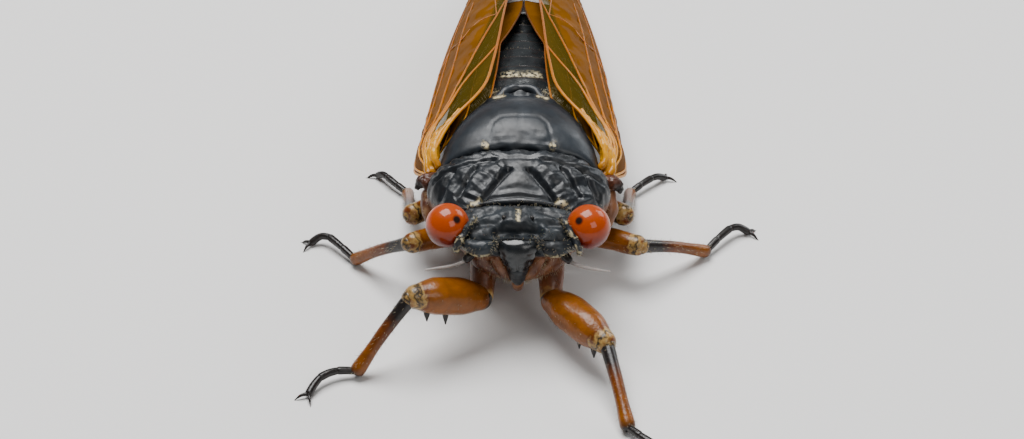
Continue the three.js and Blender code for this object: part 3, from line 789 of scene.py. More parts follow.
@dataclass
class Hairs:
    """Short tapered hairs, modelled once and copied over a surface."""

    workshop: Workshop
    seed: int = 7
    radius: float = 0.011

    def plant(
        self, name: str, ground: bpy.types.Object, count: int, length: float, chosen: Callable[[Vector, Vector], float],
        lean: Vector = Vector((0, 0, 0)),
    ) -> bpy.types.Object:
        """Plants hairs on a piece that isn't placed yet.

        Args:
            name: the hairs' name.
            ground: the piece that carries them.
            count: number of hairs.
            length: length of the longest, in millimetres.
            chosen: chance from 0 to 1 that a hair grows at a point with a normal.
            lean: how they are combed.
        """
        dice = random.Random(self.seed + count)
        Bench.clear()
        bpy.ops.mesh.primitive_cone_add(vertices=3, radius1=self.radius, radius2=self.radius * 0.2, depth=1, location=(0, 0, 0.5))
        pattern = bpy.context.object
        Bench.settle(pattern)
        shape = [v.co.copy() for v in pattern.data.vertices]
        sides = [tuple(p.vertices) for p in pattern.data.polygons]
        bpy.data.objects.remove(pattern)
        faces = [p for p in ground.data.polygons if chosen(p.center, p.normal) > 0]
        points: list[Vector] = []
        shown: list[tuple[int, ...]] = []
        tries = 0
        while len(points) < count * len(shape) and faces and tries < count * 30:
            tries += 1
            face = dice.choice(faces)
            if dice.random() > chosen(face.center, face.normal):
                continue
            corner = ground.data.vertices[dice.choice(face.vertices)].co
            root = face.center.lerp(corner, dice.random() * 0.8) - face.normal * 0.02
            wild = Vector((dice.uniform(-1, 1), dice.uniform(-1, 1), dice.uniform(-1, 1))) * 0.3
            heading = (face.normal + lean + wild).normalized()
            turn = heading.to_track_quat("Z", "Y").to_matrix()
            size = length * dice.uniform(0.5, 1)
            start = len(points)
            points += [root + turn @ Vector((p.x, p.y, p.z * size)) for p in shape]
            shown += [tuple(start + i for i in side) for side in sides]
        mesh = bpy.data.meshes.new(name)
        mesh.from_pydata([tuple(p) for p in points], [], shown)
        obj = bpy.data.objects.new(name, mesh)
        bpy.context.scene.collection.objects.link(obj)
        Bench.tint(obj, "along", lambda p, n: 0.6)
        return self.workshop.keep(obj, name, HAIR)


@dataclass
class Shell:
    """A body section drawn through cross-sections.

    Each station is y, greatest half width, its height, top and bottom.
    """

    stations: tuple[tuple[float, float, float, float, float], ...]
    square: float = 2.2
    sides: int = 48

    def section(self, y: float) -> tuple[float, float, float, float]:
        """Returns half width, its height, top and bottom at a distance behind the face."""
        rows = self.stations
        k = max(0, min(len(rows) - 2, sum(1 for r in rows if r[0] <= y) - 1))
        t = clamp((y - rows[k][0]) / (rows[k + 1][0] - rows[k][0]))
        values = []
        for c in range(1, 5):
            p0, p1, p2, p3 = (rows[max(0, min(len(rows) - 1, k + i))][c] for i in (-1, 0, 1, 2))
            curve = 2 * p1 + (p2 - p0) * t + (2 * p0 - 5 * p1 + 4 * p2 - p3) * t * t
            values.append(0.5 * (curve + (3 * p1 - p0 - 3 * p2 + p3) * t**3))
        return tuple(values)

    def ring(self, y: float, size: float = 1.0, swell: float = 0.0) -> Ring:
        """Returns the ring at a distance behind the face, scaled about its middle."""
        half, wide, top, bottom = self.section(y)
        power = 2 / self.square
        ring = []
        for k in range(self.sides):
            a = 2 * math.pi * k / self.sides
            across = math.copysign(abs(math.cos(a)) ** power, math.cos(a))
            up = math.copysign(abs(math.sin(a)) ** power, math.sin(a))
            reach = (top - wide if up > 0 else wide - bottom) + swell
            ring.append(Vector((across * (half + swell) * size, y, wide + up * reach * size)))
        return ring

    def build(self, start: float, end: float, rows: int, levels: int = 2) -> bpy.types.Object:
        """Lofts the section from start to end, with closed rounded ends."""
        ys = spread(start, end, rows)
        rings = [self.ring(start, 0.3), self.ring(start, 0.85)]
        rings += [self.ring(y) for y in ys]
        rings += [self.ring(end, 0.85), self.ring(end, 0.3)]
        return Bench.loft(rings, levels)


@dataclass
class Head:
    """Skull, face, brow lobes, cheeks, beak, feelers and eyes."""

    workshop: Workshop
    hairs: Hairs
    rear: float = 2.75
    eye_x: float = 3.65
    eye_radius: float = 1.16
    face_rows: tuple[tuple[float, float, float], ...] = (
        (-0.24, 0.8, 0.8), (-0.28, 1.12, 0.46), (-0.4, 1.26, 0.26), (-0.62, 1.3, 0.14), (-0.95, 1.24, 0.06),
        (-1.35, 1.08, 0.06), (-1.8, 0.84, 0.16), (-2.25, 0.56, 0.32), (-2.6, 0.34, 0.52), (-2.85, 0.2, 0.75), (-2.95, 0.1, 1.1),
    )
    skull: Shell = field(
        default_factory=lambda: Shell(
            (
                (0.5, 2.1, -0.5, -0.1, -1.2),
                (0.95, 2.85, -0.5, 0.3, -1.75),
                (1.6, 3.35, -0.5, 0.55, -2.2),
                (2.75, 3.5, -0.6, 0.62, -2.5),
            ),
            square=2.6,
        )
    )

    def relief(self, p: Vector, n: Vector) -> float:
        """Height of the crown's grooves, hollows and bumps."""
        if n.z < -0.2:
            return 0.0
        rough = noise.noise(Vector((p.x * 1.6, p.y * 1.6, 4))) * 0.09 + noise.noise(Vector((p.x * 3.4, p.y * 3.4, 2))) * 0.06
        groove = -0.06 * near_line(p.x, p.y, (0, 1.4), (0, 2.75), 0.1)
        groove -= 0.16 * near_line(p.x, p.y, (0.8, 1.5), (0.74, 1.75), 0.2)
        crest = 0.12 * near_line(p.x, p.y, (0.42, 1.5), (0.4, 2.2), 0.36)
        dent = -0.5 * near_line(p.x, p.y, (0.0, 0.8), (1.0, 0.84), 0.5)
        hollow = -0.2 * near_line(p.x, p.y, (1.0, 1.25), (2.1, 1.3), 0.42)
        slope = -0.14 * near_line(p.x, p.y, (1.3, 2.2), (2.1, 1.8), 0.4)
        return rough + groove + crest + dent + hollow + slope

    def build(self) -> None:
        """Models and dresses the head."""
        skull = self.skull.build(0.5, self.rear, 9)
        Bench.carve(skull, self.relief)
        Bench.tint(skull, "flank", lambda p, n: smooth((-1.1 - p.z) / 0.4))
        Bench.tint(skull, "bloom", lambda p, n: 0.9 * near_line(p.x, p.y, (0, 1.35), (0, 2.4), 0.055) * (n.z > 0.3))
        self.hairs.plant("crown_hairs", skull, 300, 0.28, self.crown_hair, Vector((0, -0.5, 0.2)))
        self.workshop.keep(skull, "crown", FACE, "head")
        self.face()
        for side in Side:
            self.side(side)
        self.beak()

    def crown_hair(self, p: Vector, n: Vector) -> float:
        """Chance of a hair on the crown."""
        hollow = near_line(p.x, p.y, (0.5, 0.7), (1.6, 0.9), 0.5)
        edge = near_line(p.x, p.y, (2.5, 2.6), (2.5, 0.9), 0.3)
        rear = smooth((p.y - 2.3) / 0.4) * 0.5
        return max(hollow * 0.8, edge, rear) if n.z > -0.3 and abs(p.x) < 3.3 else 0.0

    def face(self) -> None:
        """The swollen ribbed face and the dark wedge below it."""
        back = 1.7
        rings: list[Ring] = []
        for z, wide, front in self.face_rows:
            ring = []
            for k in range(40):
                a = 2 * math.pi * k / 40
                across = math.copysign(abs(math.cos(a)) ** 0.8, math.cos(a))
                depth = math.copysign(abs(math.sin(a)) ** 0.8, math.sin(a))
                ring.append(Vector((across * wide, back + depth * (back - front), z)))
            rings.append(ring)
        face = Bench.loft(rings, 2)
        Bench.carve(face, self.rib)
        Bench.tint(face, "flank", lambda p, n: 0.0)
        self.workshop.keep(face, "postclypeus", LIP)
        wedge = Bench.limb(
            [Vector((0, 0.75, -1.9)), Vector((0, 0.95, -2.55)), Vector((0, 1.4, -3.25))], [0.62, 0.45, 0.25], steps=8, levels=2
        )
        self.workshop.keep(wedge, "anteclypeus", BLACK)

    def rib(self, p: Vector, n: Vector) -> float:
        """Height of the face's cross ribs."""
        aside = smooth((abs(p.x) - 0.12) / 0.35) * smooth((-p.z - 0.75) / 0.3)
        groove = -0.05 * near_line(p.x, p.z, (0, -2.6), (0, -1.1), 0.12)
        return 0.03 * math.sin(p.z * 15 + abs(p.x) * 1.5) * aside + groove + 0.03 * noise.noise(p * 2.2)

    def side(self, side: Side) -> None:
        """The brow lobe, cheeks, feeler and eye of one side."""
        brow = Bench.limb(
            [side.at(1.25, 0.62, -0.45), side.at(1.75, 0.16, -0.52), side.at(2.3, 0.34, -0.55), side.at(2.8, 0.85, -0.4)],
            [0.22, 0.46, 0.42, 0.26], steps=10, levels=2,
        )
        Bench.carve(brow, lambda p, n: 0.035 * noise.noise(p * 3.2) - 0.08 * smooth(n.z) * smooth(p.y - 0.1))
        self.hairs.plant(f"brow_hairs_{side.word}", brow, 90, 0.26, lambda p, n: float(n.y < 0.2), Vector((0, -0.3, -0.3)))
        Bench.tint(brow, "bloom", lambda p, n: 0.75 * smooth((-0.62 - p.z) / 0.2) * (n.y < 0.3))
        self.workshop.keep(brow, f"brow_{side.word}", FACE)
        lorum = Bench.limb(
            [side.at(1.15, 0.95, -1.45), side.at(0.85, 0.85, -2.1), side.at(0.35, 1.2, -2.9)], [0.34, 0.36, 0.2], levels=2
        )
        self.hairs.plant(f"lorum_hairs_{side.word}", lorum, 90, 0.3, lambda p, n: float(n.y < 0.4), Vector((0, -0.2, -0.3)))
        self.workshop.keep(lorum, f"lorum_{side.word}", BROWN)
        gena = Bench.limb(
            [side.at(2.3, 1.5, -1.2), side.at(1.75, 1.5, -2.0), side.at(1.0, 1.55, -2.6), side.at(0.5, 1.6, -3.0)],
            [0.6, 0.58, 0.5, 0.3], levels=2,
        )
        Bench.carve(gena, lambda p, n: 0.06 * noise.noise(p * 2.6))
        self.hairs.plant(f"gena_hairs_{side.word}", gena, 160, 0.34, lambda p, n: float(n.z < 0.6), Vector((0, -0.2, -0.4)))
        self.workshop.keep(gena, f"gena_{side.word}", BROWN)
        self.eye(side)
        self.feeler(side)
        ocellus = Bench.ball(side.at(0.72, 1.62, 0.5), (0.12, 0.12, 0.1), 24, 16)
        self.workshop.keep(ocellus, f"ocellus_{side.word}", SPINE)

    def eye(self, side: Side) -> None:
        """The compound eye and the rim that it sits in."""
        centre = side.at(self.eye_x, 1.6, 0)
        radius = self.eye_radius
        ball = Bench.ball(centre, (radius * 0.985, radius * 0.985, radius), 96, 64)
        Bench.tap(ball, centre + side.at(-0.85, -0.45, -0.65), side.at(0.1, 0.06, 0.08), 0.9)
        finish = EyeFinish(f"eye_skin_{side.word}", centre, radius, side.at(-0.45, -0.54, 0.71))
        self.workshop.keep(ball, f"compound_eye_{side.word}", finish, f"eye_{side.word}")
        line = [(2.2, 1.55, 0.5), (2.42, 1.13, 0.5), (2.78, 0.75, 0.01), (3.12, 0.42, -0.52), (3.2, 0.6, -1.0)]
        rim = Bench.limb([side.at(*p) for p in line], [0.12, 0.16, 0.2, 0.22, 0.14], 18, 18, levels=2)
        Bench.carve(rim, lambda p, n: 0.06 * noise.noise(p * 3) + 0.02 * noise.noise(p * 8))
        self.hairs.plant(f"socket_hairs_{side.word}", rim, 60, 0.22, lambda p, n: float(n.y < 0.3), Vector((0, -0.4, -0.2)))
        Bench.tint(rim, "bloom", lambda p, n: 0.6 * smooth((noise.noise(p * 3) - 0.05) / 0.2) * (n.y < 0))
        self.workshop.keep(rim, f"eye_socket_{side.word}", FACE)

    def feeler(self, side: Side) -> None:
        """The feeler: a stout joint and a bristle."""
        root = side.at(2.4, 0.62, -1.15)
        stalk = Bench.limb([root, root + side.at(0.3, -0.28, -0.18)], [0.27, 0.22], 12, 3)
        self.workshop.keep(stalk, f"feeler_joint_{side.word}", SPINE)
        offsets = [(0.3, -0.3, -0.2), (0.8, -0.5, -0.34), (1.5, -0.55, -0.48), (2.35, -0.5, -0.66)]
        bristle = Bench.limb([root + side.at(*o) for o in offsets], [0.11, 0.09, 0.08, 0.055], 12, 14)
        self.workshop.keep(bristle, f"feeler_{side.word}", FEELER, f"antenna_{side.word}")

    def beak(self) -> None:
        """The jointed beak that runs back between the front legs."""
        start = 1.5
        points = [Vector((0, start, -3.3)), Vector((0, start + 0.9, -4.1)), Vector((0, start + 2.6, -4.55)), Vector((0, start + 4.2, -4.85))]
        beak = Bench.limb(points, [0.34, 0.3, 0.27, 0.13], 16, 16)
        Bench.carve(beak, lambda p, n: -0.06 * near_line(0, p.y, (0, 2.4), (0, 2.41), 0.16))
        self.workshop.keep(beak, "beak", BROWN, "rostrum")


@dataclass
class Prothorax:
    """The collar shield behind the head."""

    workshop: Workshop
    hairs: Hairs
    front: float = 3.05
    rear: float = 6.5
    shell: Shell = field(
        default_factory=lambda: Shell(
            (
                (3.05, 3.3, -0.7, 0.66, -2.7),
                (4.0, 3.95, -0.7, 1.1, -3.0),
                (5.0, 4.5, -0.6, 1.55, -3.3),
                (5.9, 4.9, -0.5, 1.85, -3.5),
                (6.5, 4.75, -0.4, 1.9, -3.5),
            ),
            sides=64,
        )
    )

    def relief(self, p: Vector, n: Vector) -> float:
        """Height of the fissures, wrinkles and rear collar."""
        top = smooth((n.z + 0.1) / 0.5)
        fissure = -0.34 * near_line(p.x, p.y, (0.5, 4.95), (1.9, 3.35), 0.2)
        outer = -0.3 * near_line(p.x, p.y, (2.3, 5.3), (3.2, 4.0), 0.22)
        lateral = -0.22 * near_line(p.x, p.y, (3.5, 5.4), (4.1, 4.6), 0.22)
        collar = -0.17 * near_line(p.x, p.y, (0.0, 5.72), (4.4, 5.5), 0.2) * (0.3 + 0.7 * smooth((abs(p.x) - 0.7) / 0.6))
        front = -0.16 * near_line(p.x, p.y, (0, 3.42), (1.9, 3.3), 0.14)
        plate = 0.15 * near_line(p.x, p.y, (1.1, 5.1), (2.2, 4.5), 0.55)
        knob = 0.1 * near_line(p.x, p.y, (0, 4.25), (0, 4.5), 1.0)
        base = -0.06 * near_line(p.x, p.y, (0, 3.85), (1.0, 3.7), 0.3)
        away = smooth((abs(p.x) - 0.5 - 1.1 * smooth((4.9 - p.y) / 1.4)) / 0.5)
        along, across = abs(p.x) * 0.62 - p.y * 0.78, abs(p.x) * 0.78 + p.y * 0.62
        fold = (0.35 - abs(noise.noise(Vector((along * 2.8, across * 0.8, p.x * 0.1))))) * 0.2
        cross = (0.3 - abs(noise.noise(Vector((along * 1.6, across * 2.4, p.x * 0.1 + 7))))) * 0.07
        wrinkle = fold + cross + noise.noise(p * 0.9) * 0.07
        fine = (0.3 - abs(noise.noise(Vector((along * 6.5, across * 2.6, 3))))) * 0.05
        band = smooth((p.y - 5.8) / 0.2)
        calm = max(away, band)
        return top * (fissure + outer + lateral + collar + front + plate + knob + base) + calm * (wrinkle + fine)

    def build(self) -> None:
        """Models and dresses the shield."""
        shield = self.shell.build(self.front, self.rear, 11)
        Bench.carve(shield, self.relief)
        Bench.tint(shield, "flank", lambda p, n: smooth((-0.5 - p.z) / 0.5))
        Bench.tint(shield, "bloom", lambda p, n: 0.8 * near_line(p.x, p.y, (2.0, 3.3), (2.5, 3.2), 0.25) * (n.z > -0.3))
        self.hairs.plant("collar_hairs", shield, 420, 0.3, self.hairy, Vector((0, -0.6, 0)))
        self.workshop.keep(shield, "collar_shield", BLACK, "pronotum")

    def hairy(self, p: Vector, n: Vector) -> float:
        """Chance of a hair on the shield."""
        front = smooth((3.5 - p.y) / 0.4)
        flank = smooth((-0.2 - p.z) / 0.5) * 0.6
        return max(front, flank) * float(p.z > -2.6)


@dataclass
class Mesothorax:
    """The domed shield between the wings, its raised cross and the flanks."""

    workshop: Workshop
    hairs: Hairs
    front: float = 6.8
    rear: float = 14.0
    shell: Shell = field(
        default_factory=lambda: Shell(
            (
                (6.8, 4.3, -0.2, 1.95, -3.8),
                (7.8, 4.3, -0.1, 2.6, -4.1),
                (9.2, 4.05, -0.2, 2.9, -4.2),
                (10.8, 3.65, -0.4, 2.7, -4.0),
                (12.1, 3.3, -0.6, 2.2, -3.7),
                (13.1, 3.05, -0.75, 2.0, -3.6),
                (14.0, 2.85, -0.85, 1.8, -3.5),
            ),
            sides=64,
        )
    )

    def arch(self, p: Vector) -> float:
        """Closeness to the arched line on the dome."""
        rise = near_line(p.x, p.y, (1.78, 7.0), (1.45, 8.2), 0.1)
        bend = near_line(p.x, p.y, (1.45, 8.2), (1.0, 8.62), 0.1)
        return max(rise, bend, near_line(p.x, p.y, (1.0, 8.62), (0, 8.62), 0.09) * 0.7)

    def relief(self, p: Vector, n: Vector) -> float:
        """Height of the dome's lines and its rear cross."""
        top = smooth(n.z / 0.4)
        hub = 0.2 * near_line(p.x, p.y, (0, 13.3), (0.3, 13.6), 0.8)
        arms = 0.14 * near_line(p.x, p.y, (0.7, 13.1), (1.75, 12.15), 0.4)
        pit = -0.3 * near_line(p.x, p.y, (0, 12.7), (0.3, 12.75), 0.5)
        cross = hub + arms + pit
        strip = smooth((7.75 - p.y + 0.2 * noise.noise(p * 3)) / 0.35) * smooth((2.6 - abs(p.x)) / 0.9)
        rough = noise.fractal(Vector((p.x * 2.0, p.y * 5.0, 2.0)), 1.0, 2.0, 2) * 0.055 * strip
        middle = -0.02 * near_line(p.x, p.y, (0, 7.7), (0, 11.2), 0.09)
        line = -0.05 * self.arch(p)
        flank = (1 - top) * noise.fractal(p * 1.3, 1.0, 2.0, 3) * 0.12
        return top * (cross + rough + middle + line) + flank

    def build(self) -> None:
        """Models and dresses the middle of the body."""
        dome = self.shell.build(self.front, self.rear, 15)
        Bench.carve(dome, self.relief)
        Bench.tint(dome, "flank", lambda p, n: smooth((-0.25 - p.z) / 0.5))
        Bench.tint(dome, "bloom", self.bloom)
        self.hairs.plant("dome_hairs", dome, 520, 0.36, self.hairy, Vector((0, 0.4, 0)))
        self.workshop.keep(dome, "domed_shield", SHIELD, "mesothorax")
        line = [(-1.85, 12.0, 1.66), (-1.15, 12.62, 1.86), (-0.66, 13.2, 2.02), (0.0, 13.36, 2.06)]
        line += [(-x, y, z) for x, y, z in reversed(line[:3])]
        cross = Bench.limb([Vector(p) for p in line], [0.14, 0.24, 0.3, 0.27, 0.3, 0.24, 0.14], 24, 30, levels=1)
        Bench.carve(cross, lambda p, n: 0.04 * noise.noise(p * 2.4))
        Bench.tint(cross, "bloom", self.bloom)
        self.workshop.keep(cross, "raised_cross", SHIELD)
        for side in Side:
            self.shoulder(side)

    def bloom(self, p: Vector, n: Vector) -> float:
        """Where pale bloom lies: two tufts in front and the arms of the cross."""
        tuft = near_line(p.x, p.y, (1.74, 6.95), (1.9, 7.02), 0.2) * 1.6
        arm = near_line(p.x, p.y, (0.95, 12.35), (1.4, 12.2), 0.22) * 1.4
        rear = near_line(p.x, p.y, (1.5, 12.9), (2.6, 12.5), 0.3)
        return max(tuft, arm, rear) * (n.z > 0.1)

    def hairy(self, p: Vector, n: Vector) -> float:
        """Chance of a hair on the dome."""
        tuft = near_line(p.x, p.y, (1.74, 6.95), (1.9, 7.02), 0.16)
        arm = near_line(p.x, p.y, (0.95, 12.35), (1.4, 12.2), 0.2)
        rear = near_line(p.x, p.y, (1.2, 13.2), (2.6, 12.6), 0.35)
        return max(tuft, arm, rear) * (n.z > -0.2) + 0.05 * smooth((-0.5 - p.z) / 0.5)

    def shoulder(self, side: Side) -> None:
        """The brown knob in front of a forewing's root, the wing plate and the flank plate."""
        points = [side.at(4.2, 7.1, -0.75), side.at(4.85, 6.95, -0.4), side.at(5.25, 6.85, -0.42), side.at(5.5, 6.72, -0.7)]
        knob = Bench.limb(points, [0.62, 0.56, 0.44, 0.16], 20, 12, levels=2)
        Bench.carve(knob, lambda p, n: 0.09 * noise.noise(p * 2.5) + 0.04 * noise.noise(p * 7))
        self.workshop.keep(knob, f"shoulder_knob_{side.word}", KNOB)
        plate = Bench.limb(
            [side.at(4.1, 8.2, -1.5), side.at(4.5, 7.9, -1.0), side.at(4.75, 7.6, -0.5)], [0.7, 0.55, 0.35], 20, 8, levels=2
        )
        self.workshop.keep(plate, f"wing_plate_{side.word}", BROWN)
        flank = Bench.limb(
            [side.at(4.8, 6.85, -1.0), side.at(4.85, 6.25, -1.6), side.at(4.55, 5.6, -2.3)], [0.46, 0.5, 0.4], 20, 8, levels=2
        )
        Bench.carve(flank, lambda p, n: 0.08 * noise.noise(p * 1.8))
        Bench.tint(flank, "bloom", lambda p, n: 0.25 * smooth(noise.noise(p * 2)))
        self.workshop.keep(flank, f"flank_plate_{side.word}", BROWN)


@dataclass
class Abdomen:
    """Overlapping rings that narrow to the tail."""

    workshop: Workshop
    hairs: Hairs
    front: float = 14.3
    tip: float = 30.2
    rings: int = 8
    last_ring: float = 27.2
    step: float = 0.16
    shell: Shell = field(
        default_factory=lambda: Shell(
            (
                (14.3, 2.95, -0.95, 1.35, -3.5),
                (16.2, 3.15, -1.0, 1.45, -3.65),
                (19.0, 3.0, -1.1, 1.2, -3.6),
                (22.5, 2.5, -1.2, 0.6, -3.3),
                (25.5, 2.0, -1.2, 0.2, -2.9),
                (27.4, 1.5, -1.2, 0.12, -2.55),
                (29.0, 1.0, -1.2, 0.08, -2.3),
                (30.2, 0.6, -1.3, -0.1, -2.0),
            ),
            square=2.1,
            sides=48,
        )
    )

    def share(self, y: float) -> float:
        """Place within a ring, from 0 at its front edge to 1 at its rear edge."""
        pitch = (self.last_ring - self.front) / self.rings
        return ((y - self.front) / pitch) % 1 if y < self.last_ring else 0.5

    def build(self) -> None:
        """Models and dresses the abdomen."""
        edges = spread(self.front, self.last_ring, self.rings)
        rings = [self.shell.ring(self.front, 0.5), self.shell.ring(self.front, 0.93)]
        for a, b in zip(edges, edges[1:]):
            for t, lift in ((0.02, -0.14), (0.3, -0.05), (0.7, 0.05), (0.93, 0.12), (0.97, 0.08)):
                rings.append(self.shell.ring(mix(a, b, t), 1.0, lift))
        rings += [self.shell.ring(y) for y in (27.6, 28.4, 29.2, 29.9)]
        rings += [self.shell.ring(self.tip, 0.85), self.shell.ring(self.tip, 0.3)]
        body = Bench.loft(rings, 1)
        Bench.carve(body, lambda p, n: noise.fractal(Vector((p.x * 0.7, p.y * 4.5, p.z * 0.7)), 1.0, 2.0, 3) * 0.045)
        Bench.tint(body, "flank", lambda p, n: max(smooth((-1.6 - p.z) / 0.8) * 0.8, 0.12 * smooth((self.share(p.y) - 0.86) / 0.06)))
        Bench.tint(body, "bloom", lambda p, n: self.bloom(p) * (n.z > 0.2))
        self.hairs.plant("abdomen_hairs", body, 420, 0.3, self.hairy, Vector((0, 1.2, 0)))
        self.workshop.keep(body, "abdomen_rings", RINGS, "abdomen")

    def bloom(self, p: Vector) -> float:
        """The cream patches on the first rings."""
        patch = near_line(p.x, p.y, (0.0, 16.35), (0.9, 16.5), 0.42)
        side = near_line(p.x, p.y, (1.5, 14.6), (2.2, 15.6), 0.4)
        return max(patch * 1.3, side)

    def hairy(self, p: Vector, n: Vector) -> float:
        """Chance of a hair on the abdomen."""
        first = near_line(p.x, p.y, (0.0, 16.0), (1.0, 16.2), 0.4)
        return max(first, 0.25 * smooth((self.share(p.y) - 0.7) / 0.2) * (n.z < 0.6)) * (n.z > -0.4)


@dataclass
class Wings:
    """Membranes between two margins, with the veins on them."""

    workshop: Workshop
    bulge: float = 1.45
    square: float = 2.6
    hind_drop: float = 1.15
    hind_span: tuple[float, float] = (0.1, 0.6)
    hind_edge: tuple[Spot, ...] = (
        (1.45, 19, 1.6), (1.28, 20.4, 1.45), (0.78, 22.6, 1.2), (0.34, 24.8, 1.0),
        (0.12, 26.2, 0.88), (0.03, 27.2, 0.78), (0.03, 31, 0.2),
    )
    thickness: float = 0.07
    front: Path = field(init=False)
    inner: Path = field(init=False)

    def __post_init__(self) -> None:
        """Draws the two margins of the left forewing."""
        front = (
            (4.95, 7.5, -0.35), (5.7, 9.6, -1.35), (5.8, 13, -2.5), (5.25, 18, -3.15), (4.45, 24, -3.3),
            (3.6, 30, -2.95), (2.95, 35, -2.7), (2.3, 39.3, -2.55), (1.75, 41.6, -2.4), (1.35, 42.4, -2.15),
        )
        inner = (
            (4.6, 7.8, 0.9), (3.95, 9.0, 1.8), (3.2, 10.0, 2.35), (2.6, 10.8, 2.6), (1.95, 12.3, 2.8),
            (1.57, 15.3, 2.8), (1.36, 18, 2.7), (1.19, 21.2, 2.5), (1.0, 24.5, 2.2), (0.8, 27.5, 1.8),
            (0.55, 31, 1.35), (0.5, 34, 0.85), (0.5, 37.5, 0.1), (0.55, 40.2, -0.75), (0.9, 42.1, -1.8),
        )
        self.front = Path([Vector(p) for p in front])
        self.inner = Path([Vector(p) for p in inner])

    def surface(self, s: float, t: float) -> Vector:
        """Returns a point of the left forewing: s from root to tip, t from front margin to inner margin."""
        a, b = self.front.at(s), self.inner.at(s)
        chord = b - a
        out = Vector((chord.z, 0, -chord.x)).normalized()
        swell = self.bulge * math.sin(math.pi * clamp(s * 1.02)) ** 0.6
        return a.lerp(b, t) + out * (swell * (1 - abs(2 * t - 1) ** self.square))

    def normal(self, s: float, t: float) -> Vector:
        """Returns the outward direction of the left forewing."""
        e = 0.006
        ds = self.surface(s + e, t) - self.surface(s - e, t)
        dt = self.surface(s, t + e) - self.surface(s, t - e)
        return ds.cross(dt).normalized()

    def hind_patch(self, s: float, t: float) -> tuple[float, float]:
        """Returns the place under the forewing of a place on the hindwing."""
        u = mix(self.hind_span[0], self.hind_span[1], s)
        return u, mix(mix(0.12, 0.62, s**2.2), mix(0.97, 0.9, s**4), t)

    def lobe(self, p: Vector, t: float) -> Vector:
        """Draws the inner part of the hindwing out to the edge that shows over the tail."""
        pull = smooth((t - 0.45) / 0.55) * smooth((p.y - 19) / 2.5)
        rows = self.hind_edge
        k = max(0, min(len(rows) - 2, sum(1 for r in rows if r[1] <= p.y) - 1))
        share = clamp((p.y - rows[k][1]) / (rows[k + 1][1] - rows[k][1]))
        x, z = (mix(rows[k][c], rows[k + 1][c], share) for c in (0, 2))
        return Vector((mix(p.x, x + (1 - t) * 1.2, pull), p.y, mix(p.z, z + min(0, p.z - z) * (1 - t), pull)))

    def point(self, side: Side, s: float, t: float, hind: bool, lift: float = 0.0) -> Vector:
        """Returns a point of a wing.

        Args:
            side: which side.
            s: place from root to tip.
            t: place from front margin to inner margin.
            hind: whether it is the hindwing.
            lift: height above its middle surface.
        """
        u, v = self.hind_patch(s, t) if hind else (s, t)
        p = self.surface(u, v) + self.normal(u, v) * (lift - (self.hind_drop if hind else 0))
        p = self.lobe(p, t) if hind else p
        p.z = max(p.z, STANCE.floor(p.y) + 0.1)
        return side.at(p.x, p.y, p.z)

    def membrane(self, side: Side, hind: bool, long: int, wide: int) -> bpy.types.Object:
        """Lays a grid on the wing's surface, puckers it between the veins and gives it thickness."""
        Bench.clear()
        bpy.ops.mesh.primitive_grid_add(x_subdivisions=long, y_subdivisions=wide, size=2, calc_uvs=True)
        obj = bpy.context.object
        for v in obj.data.vertices:
            s, t = (v.co.x + 1) / 2, (v.co.y + 1) / 2
            pucker = 0.09 * noise.noise(Vector((s * 34, t * 9, 3.0 + hind))) + 0.04 * noise.noise(Vector((s * 90, t * 26, 1)))
            fade = min(1, 12 * s, 12 * (1 - s), 10 * t, 10 * (1 - t))
            v.co = self.point(side, s, t, hind, pucker * max(0, fade))
        Bench.finish(obj, "SOLIDIFY", thickness=self.thickness, offset=0)
        Bench.choose(obj)
        bpy.ops.object.mode_set(mode="EDIT")
        bpy.ops.mesh.select_all(action="SELECT")
        bpy.ops.mesh.normals_make_consistent(inside=False)
        bpy.ops.object.mode_set(mode="OBJECT")
        return obj

    def veins(self, side: Side, hind: bool, lines: Sequence[tuple[Sequence[tuple[float, float]], float, float]]) -> bpy.types.Object:
        """Draws veins as round cords on the wing's surface and makes them a mesh.

        Args:
            side: which side.
            hind: whether they are the hindwing's.
            lines: points as places on the wing, with the radius at the first and at the last.
        """
        Bench.clear()
        bpy.ops.curve.primitive_bezier_curve_add()
        obj = bpy.context.object
        curve = obj.data
        curve.splines.clear()
        curve.bevel_depth = 1.0
        curve.bevel_resolution = 2
        curve.use_fill_caps = True
        marks: list[tuple[Vector, float]] = []
        for places, first, last in lines:
            path = Path([Vector((s, t, 0)) for s, t in places], 12)
            steps = max(6, round(path.lengths[-1] * 60))
            spline = curve.splines.new("POLY")
            spline.points.add(steps)
            for i, spot in enumerate(spline.points):
                place = path.at(i / steps)
                p = self.point(side, clamp(place.x), place.y, hind, 0.04)
                spot.co = (*p, 1)
                spot.radius = mix(first, last, i / steps)
                marks.append((p, clamp(place.x)))
        Bench.choose(obj)
        bpy.ops.object.convert(target="MESH")
        self.settle_marks(obj, hind)
        return obj

    def settle_marks(self, obj: bpy.types.Object, hind: bool) -> None:
        """Stores how far towards the tip each point of the veins lies."""
        start, end = (11.0, 27.5) if hind else (7.4, 42.4)
        Bench.tint(obj, "along", lambda p, n: (p.y - start) / (end - start))

